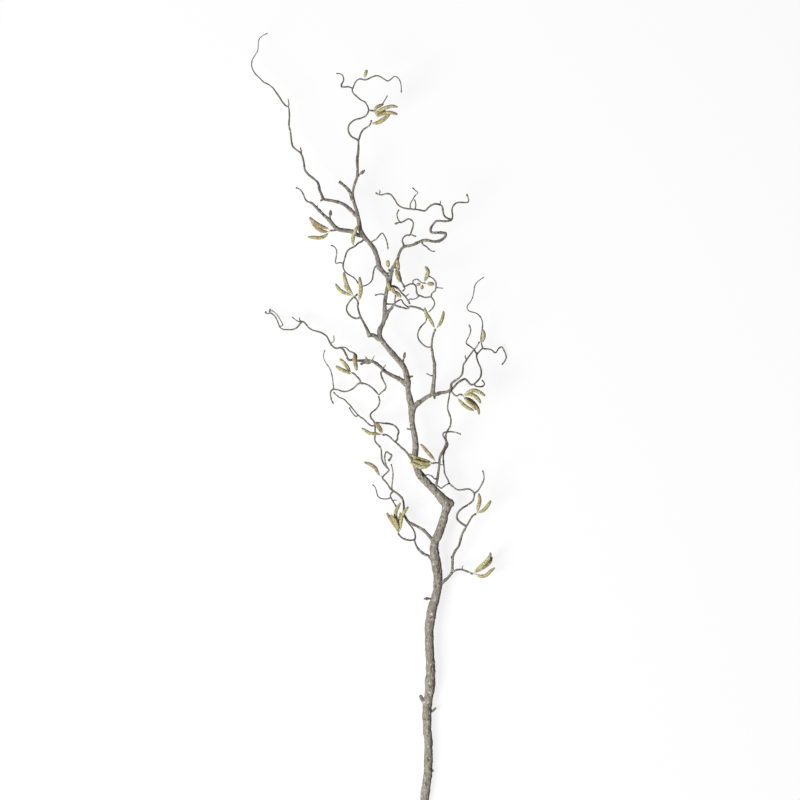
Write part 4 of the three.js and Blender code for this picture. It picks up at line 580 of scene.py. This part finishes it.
def apply_modifier(piece, kind, **settings):
    select_only(piece)
    made = piece.modifiers.new(kind.lower(), kind)
    for key, value in settings.items():
        setattr(made, key, value)
    bpy.ops.object.modifier_apply(modifier=made.name)


def join(pieces):
    select_only(*pieces)
    bpy.ops.object.join()
    return pieces[0]


def points_of(piece):
    flat = np.empty(len(piece.data.vertices) * 3)
    piece.data.vertices.foreach_get("co", flat)
    return flat.reshape(-1, 3)


def mark(piece, name, values):
    """Writes one number for each point of a mesh, for its finish to read."""
    layer = piece.data.attributes.new(name, "FLOAT", "POINT")
    layer.data.foreach_set("value", np.broadcast_to(values, len(piece.data.vertices)).astype(np.float32))


def weigh(piece, name, values):
    """A vertex group that holds one weight for each point, rounded to a few levels."""
    group = piece.vertex_groups.new(name=name)
    levels = np.round(np.clip(values, 0, 1) * WEIGHT_LEVELS).astype(int)
    for level in np.unique(levels):
        group.add(np.flatnonzero(levels == level).tolist(), level / WEIGHT_LEVELS, "REPLACE")


def smooth_shade(piece, degrees):
    select_only(piece)
    bpy.ops.object.shade_smooth_by_angle(angle=math.radians(degrees))


def finish_piece(piece, node, material):
    piece.name = "fine_" + node
    piece.data.name = piece.name
    piece.data.materials.clear()
    piece.data.materials.append(material)
    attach(piece, "root")
    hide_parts(node)


# ---- the wood ----


def root_on(limb, place):
    """The point on a limb's spine nearest to a place seen from above, and the limb's radius there."""
    near = np.hypot(*(limb["line"][:, :2] - place).T).argmin()
    return limb["line"][near], limb["radii"][near]


def stem_limb():
    rows = np.array(STEM)
    line, places = smooth_line(rows[:, :3], STEM_STEP)
    return {"line": line, "radii": np.interp(places, range(len(rows)), rows[:, 3])}


def side_limb(parent, radii, heights, text, weave, phase):
    flat = read_route(text)
    root, root_radius = root_on(parent, flat[0])
    heights = (root[2], *heights)
    line, _ = smooth_line(raised(np.vstack((root[:2], flat)), heights, weave, phase), TWIG_STEP)
    run = run_of(line)
    plain = along(radii, run / run[-1])
    swelled = plain * (1 + COLLAR_SWELL * np.exp(-run / (COLLAR_REACH * plain)))
    swelled[0] = min(swelled[0], COLLAR_LIMIT * root_radius)
    return {"line": line, "radii": swelled, "root": root, "root_radius": root_radius}


def add_nodes(limb, draw):
    """Swells a side twig a little at each of its nodes."""
    run = run_of(limb["line"])
    at = draw.uniform(*BUD_GAP)
    while at < run[-1] - BARE_END:
        limb["radii"] *= 1 + NODE_SWELL * np.exp(-(((run - at) / NODE_REACH) ** 2))
        at += draw.uniform(*BUD_GAP)


def add_end_bud(limb):
    """Swells the end of a side twig to a small bud."""
    run = run_of(limb["line"])
    back = run[-1] - run
    limb["radii"] *= 1 + TIP_SWELL * np.exp(-(((back - TIP_LENGTH / 2) / (TIP_LENGTH / 2)) ** 2))


def make_limbs():
    draw = np.random.default_rng(3)
    limbs = {"stem": stem_limb()}
    for row, (name, parent, radii, heights, text) in enumerate(TWIGS):
        limbs[name] = side_limb(limbs[parent], radii, heights, text, WEAVE_DEPTH, row)
        add_nodes(limbs[name], draw)
        add_end_bud(limbs[name])
    stubs = []
    for parent, radii, rise, text in STUBS:
        root, _ = root_on(limbs[parent], read_route(text)[0])
        stubs.append(side_limb(limbs[parent], radii, (root[2] + rise,), text, 0, 0))
    return limbs, stubs


def limb_tube(limb):
    line, radii = with_round_tip(limb["line"], limb["radii"])
    middling = np.median(limb["radii"])
    return draw_path("limb", line, radii, next(sides for least, sides in SIDES if middling > least))


def make_wood(limbs, stubs):
    """All limbs as one solid, united in pairs until one is left."""
    tubes = [limb_tube(limb) for limb in (*limbs.values(), *stubs)]
    while len(tubes) > 1:
        for whole, part in zip(tubes[0::2], tubes[1::2]):
            apply_modifier(whole, "BOOLEAN", operation="UNION", solver="MANIFOLD", object=part)
            bpy.data.objects.remove(part)
        tubes = tubes[0::2]
    return tubes[0]


def nearest_girth(piece, limbs):
    """The radius of the limb that each point of the wood belongs to, in mm."""
    line = np.vstack([limb["line"] for limb in limbs])
    radii = np.concatenate([limb["radii"] for limb in limbs])
    tree = KDTree(len(line))
    for index, point in enumerate(line):
        tree.insert(point, index)
    tree.balance()
    girths = []
    for point in points_of(piece) / MM - ROUTE_ORIGIN:
        near = ((abs(gap - radii[index]), radii[index]) for _, index, gap in tree.find_n(point, NEAR_RINGS))
        girths.append(min(near)[1])
    return np.array(girths)


def fork_weights(piece, sides):
    """1 in the crease where a side limb leaves its parent, and 0 away from it."""
    points = points_of(piece) / MM - ROUTE_ORIGIN
    weights = np.zeros(len(points))
    for limb in sides:
        reach = limb["root_radius"] + FORK_REACH * limb["radii"][1]
        gap = np.linalg.norm(points - limb["root"], axis=1)
        weights = np.maximum(weights, np.clip(1.5 - 1.5 * gap / reach, 0, 1))
    return weights


def roughen(piece, size, depth, group):
    """Lumps of a given size, pushed in and out of a surface."""
    lumps = bpy.data.textures.new("lumps", "CLOUDS")
    lumps.noise_scale = size
    lumps.noise_depth = 2
    apply_modifier(
        piece, "DISPLACE", texture=lumps, texture_coords="LOCAL", strength=depth, mid_level=0.5,
        vertex_group=group,
    )


def spots(piece, places):
    """1 within round spots of a surface and 0 away from them, given each spot's middle and radius in mm."""
    points = points_of(piece) / MM - ROUTE_ORIGIN
    shares = np.zeros(len(points))
    for middle, radius in places:
        gap = np.linalg.norm(points - middle, axis=1)
        shares = np.maximum(shares, np.clip(2 - 1.4 * gap / radius, 0, 1))
    return shares


def cut_the_end(wood):
    """Steps the flat cut end: a rim of bark, the pale wood, and the small hollow of the pith."""
    foot = min(vertex.co.y for vertex in wood.data.vertices)
    select_only(wood)
    for face in wood.data.polygons:
        face.select = face.normal.y < -0.99 and face.center.y < foot + CUT_DEPTH
    bpy.ops.object.mode_set(mode="EDIT")
    bpy.ops.mesh.select_mode(type="FACE")
    for width, depth in CUT_STEPS:
        bpy.ops.mesh.inset(thickness=width, depth=depth)
    bpy.ops.object.mode_set(mode="OBJECT")
    for face in wood.data.polygons:
        if face.normal.y < -0.7 and foot + CUT_DEPTH / 10 < face.center.y < foot + CUT_DEPTH:
            face.material_index = 1


def refine_wood(wood, limbs, stubs):
    sides = [limb for name, limb in limbs.items() if name != "stem"] + stubs
    weigh(wood, "forks", fork_weights(wood, sides))
    apply_modifier(wood, "SMOOTH", factor=0.5, iterations=2, vertex_group="forks")
    girth = nearest_girth(wood, [*limbs.values(), *stubs])
    from_foot = points_of(wood)[:, 1] / MM - ROUTE_ORIGIN[1]
    weigh(wood, "bark", girth / THICKEST * np.clip(from_foot - 1, 0, 1))
    for size, depth in BARK_LUMPS:
        roughen(wood, size, depth, "bark")
    mark(wood, "girth", girth)
    mark(wood, "scar", spots(wood, SCARS))
    # dark spots: knots, and painted shade on the shaded edge of the stem
    mark(wood, "knot_and_shade", spots(wood, KNOTS_AND_SHADE_SPOTS))
    tips = [limb["line"][-1] for name, limb in limbs.items() if name != "stem"]
    mark(wood, "tip", spots(wood, [(tip, 0.75 * TIP_LENGTH) for tip in tips]))
    finish_piece(wood, "wood", bark_finish())
    wood.data.materials.append(cut_finish(limbs["stem"]["line"][0]))
    cut_the_end(wood)
    smooth_shade(wood, 50)


# ---- catkins and buds ----


def make_scale(shape):
    """One pointed scale, lying along X on top of a spindle of radius 1, its free tip lifted."""
    half_length, half_width, half_thickness = shape
    bpy.ops.object.select_all(action="DESELECT")
    bpy.ops.mesh.primitive_ico_sphere_add(subdivisions=1, radius=1, location=(0, 0, 0))
    scale = bpy.context.object
    tips = points_of(scale)[:, 0]
    mark(scale, "edge", np.clip(tips, 0, 1))
    bpy.ops.object.mode_set(mode="EDIT")
    bpy.ops.transform.resize(value=(half_length * MM, half_width, half_thickness))
    bpy.ops.transform.translate(value=(half_length * MM, 0, 1 - half_thickness))
    bpy.ops.object.mode_set(mode="OBJECT")
    for vertex, tip in zip(scale.data.vertices, tips):
        vertex.co.z += half_thickness * tip
        vertex.co.y *= 1 - 0.3 * tip
    return scale


def repeat(piece, count, turn, shift):
    """Copies a piece along X, each copy turned and shifted from the one before."""
    bpy.ops.object.select_all(action="DESELECT")
    bpy.ops.object.empty_add(location=(shift, 0, 0), rotation=(turn, 0, 0))
    guide = bpy.context.object
    apply_modifier(
        piece, "ARRAY", count=count, use_relative_offset=False, use_object_offset=True, offset_object=guide,
    )
    bpy.data.objects.remove(guide)


def scaly_spindle(root, line, radii, kind, draw):
    """A spindle closed in rings of overlapping scales, on a stalk that grows out of the wood at root."""
    scale = make_scale(kind["scale"])
    in_scale = len(scale.data.vertices)
    length = run_of(line)[-1]
    rings = max(3, int((length - kind["scale"][0]) / kind["pitch"]))
    turn = 2 * math.pi / kind["around"]
    repeat(scale, kind["around"], turn, 0)
    repeat(scale, rings, turn / 2, (length - kind["scale"][0]) / rings * MM)
    tones = draw.uniform(0, 1, rings * kind["around"])
    mark(scale, "tone", np.repeat(tones, in_scale))
    mark(scale, "reach", np.clip(points_of(scale)[:, 0] / (length * MM), 0, 1))
    path = draw_path("route", line, radii)
    apply_modifier(scale, "CURVE", object=path, deform_axis="POS_X")
    bpy.data.objects.remove(path)
    core = draw_path("core", *with_round_tip(line, radii * CORE_SHARE), 10)
    mark(core, "tone", 0)
    mark(core, "reach", 0.5)
    bow = (root + line[0]) / 2 + (0, 0, CATKIN_STALK)
    stalk_line, _ = smooth_line(np.array((root, bow, line[0], line[1])), STALK_STEP)
    stalk = draw_path("stalk", stalk_line, np.full(len(stalk_line), kind["stalk"]), 8)
    mark(stalk, "stalk", 1)
    piece = join([scale, core, stalk])
    smooth_shade(piece, 60)
    return piece


def spindle_line(parent, rises, text, radius, profile):
    flat = read_route(text)
    root, _ = root_on(parent, flat[0])
    line, _ = smooth_line(raised(flat, [root[2] + rise for rise in rises]), SPINDLE_STEP)
    run = run_of(line)
    return root, line, radius * along(profile, run / run[-1])


def make_catkins(limbs):
    finishes = {
        "green": catkin_finish("catkin_green", *GREEN_SCALES, PALE_STALK),
        "tan": catkin_finish("catkin_tan", *TAN_SCALES, PALE_STALK),
    }
    kind = {"scale": CATKIN_SCALE, "around": CATKIN_AROUND, "pitch": CATKIN_PITCH, "stalk": CATKIN_STALK}
    draw = np.random.default_rng(5)
    for cluster, (parent, members) in CATKINS.items():
        for index, (radius, rises, finish, text) in enumerate(members):
            node = f"catkin_{cluster}_{index + 1}"
            root, line, radii = spindle_line(limbs[parent], rises, text, radius, CATKIN_PROFILE)
            piece = scaly_spindle(root, line, radii, kind, draw)
            finish_piece(piece, node, finishes[finish])


def make_buds(limbs):
    finish = catkin_finish("bud", *BUD_SCALES, DARK_STALK)
    kind = {"scale": BUD_SCALE, "around": BUD_AROUND, "pitch": BUD_PITCH, "stalk": BUD_STALK}
    draw = np.random.default_rng(9)
    for index, (parent, radius, rises, text) in enumerate(BUDS):
        node = f"bud_{index + 1}"
        root, line, radii = spindle_line(limbs[parent], rises, text, radius, BUD_PROFILE)
        piece = scaly_spindle(root, line, radii, kind, draw)
        finish_piece(piece, node, finish)


# ---- finishes ----


def tint(red, green, blue):
    """An 8-bit screen colour as the linear one that a shader takes."""
    return (*(((c / 255 + 0.055) / 1.055) ** 2.4 for c in (red, green, blue)), 1)


def add(tree, kind, inputs, **settings):
    """A shader node with its inputs set to numbers or linked to sockets."""
    node = tree.nodes.new("ShaderNode" + kind)
    for key, value in settings.items():
        setattr(node, key, value)
    for key, value in inputs.items():
        if isinstance(value, bpy.types.NodeSocket):
            tree.links.new(value, node.inputs[key])
        else:
            node.inputs[key].default_value = value
    return node


def ramp(tree, value, low, high):
    """0 where a value is at low or beyond it, rising evenly to 1 at high."""
    return add(tree, "MapRange", {"Value": value, "From Min": low, "From Max": high}).outputs["Result"]


def mottle(tree, coords, scale, low, high, detail=3):
    """Cloudy patches: 0 where the noise is under low and 1 where it is over high."""
    noise = add(tree, "TexNoise", {"Vector": coords, "Scale": scale, "Detail": detail})
    return ramp(tree, noise.outputs["Fac"], low, high)


def blend(tree, share, under, over, strength=1.0):
    share = add(tree, "Math", {0: share, 1: strength}, operation="MULTIPLY").outputs[0]
    return add(tree, "MixRGB", {"Fac": share, "Color1": under, "Color2": over}).outputs["Color"]


def reading(tree, name):
    return add(tree, "Attribute", {}, attribute_name=name).outputs["Fac"]


def new_finish(name, roughness):
    material = bpy.data.materials.new(name)
    material.use_nodes = True
    tree = material.node_tree
    surface = tree.nodes["Principled BSDF"]
    surface.inputs["Roughness"].default_value = roughness
    surface.inputs["Specular IOR Level"].default_value = 0.25
    return material, tree, surface


def object_coords(tree, stretch):
    place = add(tree, "TexCoord", {}).outputs["Object"]
    return add(tree, "Mapping", {"Vector": place, "Scale": stretch}).outputs["Vector"]


def grain(tree, surface, height, depth):
    bump = add(tree, "Bump", {"Height": height, "Strength": 0.8, "Distance": depth})
    tree.links.new(bump.outputs["Normal"], surface.inputs["Normal"])


def bark_finish():
    """Taupe bark, darker on thin twigs, with green and pinkish patches, pale flecks, dark pits, scars and
    knots, and painted shade: dark patches on thin twigs and dark spots on the stem's shaded edge.
    """
    material, tree, surface = new_finish("bark", 0.85)
    even = object_coords(tree, (1, 1, 1))
    drawn = object_coords(tree, (1, 0.45, 1))
    # dark patches on thin twigs: mostly painted shade, partly darker bark
    thin = blend(tree, mottle(tree, even, 65, 0.44, 0.6), tint(118, 115, 108), tint(80, 75, 66))
    colour = blend(tree, ramp(tree, reading(tree, "girth"), 0.9, 4), thin, tint(161, 154, 141))
    layers = (
        (mottle(tree, even, 42, 0.5, 0.62), tint(138, 138, 108), 0.4),  # green patches
        (mottle(tree, even, 55, 0.56, 0.68), tint(158, 138, 128), 0.5),  # pinkish patches
        (mottle(tree, drawn, 260, 0.4, 0.6, 4), tint(196, 190, 180), 0.4),  # pale streaks
        (mottle(tree, drawn, 300, 0.56, 0.64), tint(78, 70, 58), 0.72),  # dark pits
        (mottle(tree, even, 240, 0.6, 0.66, 2), tint(218, 214, 206), 0.7),  # pale flecks
        (mottle(tree, drawn, 520, 0.47, 0.53, 2), tint(92, 85, 72), 0.42),  # dark specks
        (reading(tree, "scar"), tint(250, 232, 214), 1),
        # dark knots, and spots of painted shade on the shaded edge of the stem
        (reading(tree, "knot_and_shade"), tint(46, 38, 30), 0.92),
        (reading(tree, "tip"), tint(70, 62, 50), 0.7),
    )
    for share, over, strength in layers:
        colour = blend(tree, share, colour, over, strength)
    tree.links.new(colour, surface.inputs["Base Color"])
    grain(tree, surface, mottle(tree, drawn, 420, 0.3, 0.7, 6), 0.001)
    return material


def cut_finish(foot):
    """Pale end grain with growth rings round the pith, on the cut end."""
    material, tree, surface = new_finish("cut_wood", 0.8)
    flat = object_coords(tree, (1, 0, 1))
    pith = (foot + ROUTE_ORIGIN) * MM * (1, 0, 1)
    out = add(tree, "VectorMath", {0: flat, 1: tuple(pith)}, operation="DISTANCE").outputs["Value"]
    turns = add(tree, "Math", {0: out, 1: 2 * math.pi / RING_WIDTH}, operation="MULTIPLY").outputs[0]
    rings = add(tree, "Math", {0: turns}, operation="SINE").outputs[0]
    colour = blend(tree, ramp(tree, rings, 0.2, 1), tint(214, 190, 150), tint(178, 146, 104), 0.7)
    colour = blend(tree, mottle(tree, flat, 900, 0.55, 0.7), colour, tint(150, 120, 84), 0.5)
    colour = blend(tree, ramp(tree, out, 0.0011, 0.0006), colour, tint(120, 86, 56))
    tree.links.new(colour, surface.inputs["Base Color"])
    grain(tree, surface, mottle(tree, flat, 1500, 0.3, 0.7), 0.0002)
    return material


def catkin_finish(name, pale, deep, dull, edging, stalk):
    """Soft scales in two tones, some of them dull, with dark edges, a dull tip and a stalk."""
    material, tree, surface = new_finish(name, 0.75)
    even = object_coords(tree, (1, 1, 1))
    colour = blend(tree, mottle(tree, even, 110, 0.42, 0.6), tint(*pale), tint(*deep))
    colour = blend(tree, reading(tree, "tone"), tint(*dull), colour)
    colour = blend(tree, ramp(tree, reading(tree, "edge"), 0.45, 1), colour, tint(*edging), 0.5)
    colour = blend(tree, ramp(tree, reading(tree, "reach"), 0.78, 1), colour, tint(*dull), 0.6)
    colour = blend(tree, reading(tree, "stalk"), colour, tint(*stalk))
    tree.links.new(colour, surface.inputs["Base Color"])
    grain(tree, surface, mottle(tree, even, 1400, 0.3, 0.7), 0.0002)
    return material


# ---- the studio ----


def floor_finish():
    material, _, surface = new_finish("floor", 0.9)
    surface.inputs["Base Color"].default_value = (FLOOR_SHADE, FLOOR_SHADE, FLOOR_SHADE, 1)
    surface.inputs["Emission Color"].default_value = (1, 1, 1, 1)
    surface.inputs["Emission Strength"].default_value = FLOOR_GLOW
    return material


def make_studio():
    bpy.ops.object.select_all(action="DESELECT")
    bpy.ops.mesh.primitive_plane_add(size=80, location=(0, 0, -FLOOR_DROP))
    floor = bpy.context.object
    floor.name = "floor"
    floor.data.materials.append(floor_finish())
    floor.visible_diffuse = False
    bpy.ops.object.light_add(type="AREA", location=KEY_PLACE)
    key = bpy.context.object
    key.data.shape = "RECTANGLE"
    key.data.size, key.data.size_y = KEY_SIZE
    key.data.energy = KEY_POWER
    key.rotation_euler = (-key.location).to_track_quat("-Z", "Y").to_euler()
    world = bpy.data.worlds.new("studio")
    world.use_nodes = True
    sky = world.node_tree.nodes["Background"]
    sky.inputs["Color"].default_value = (1, 1, 1, 1)
    sky.inputs["Strength"].default_value = FILL
    bpy.context.scene.world = world
    bpy.context.scene.view_settings.view_transform = "Standard"


def make_camera():
    bpy.ops.object.camera_add(location=(*VIEW_CENTRE, CAMERA_HEIGHT), rotation=(0, 0, 0))
    camera = bpy.context.object
    camera.data.lens = LENS
    camera.data.clip_end = 100
    bpy.context.scene.camera = camera


limbs, stubs = make_limbs()
make_catkins(limbs)
make_buds(limbs)
refine_wood(make_wood(limbs, stubs), limbs, stubs)
make_studio()
make_camera()
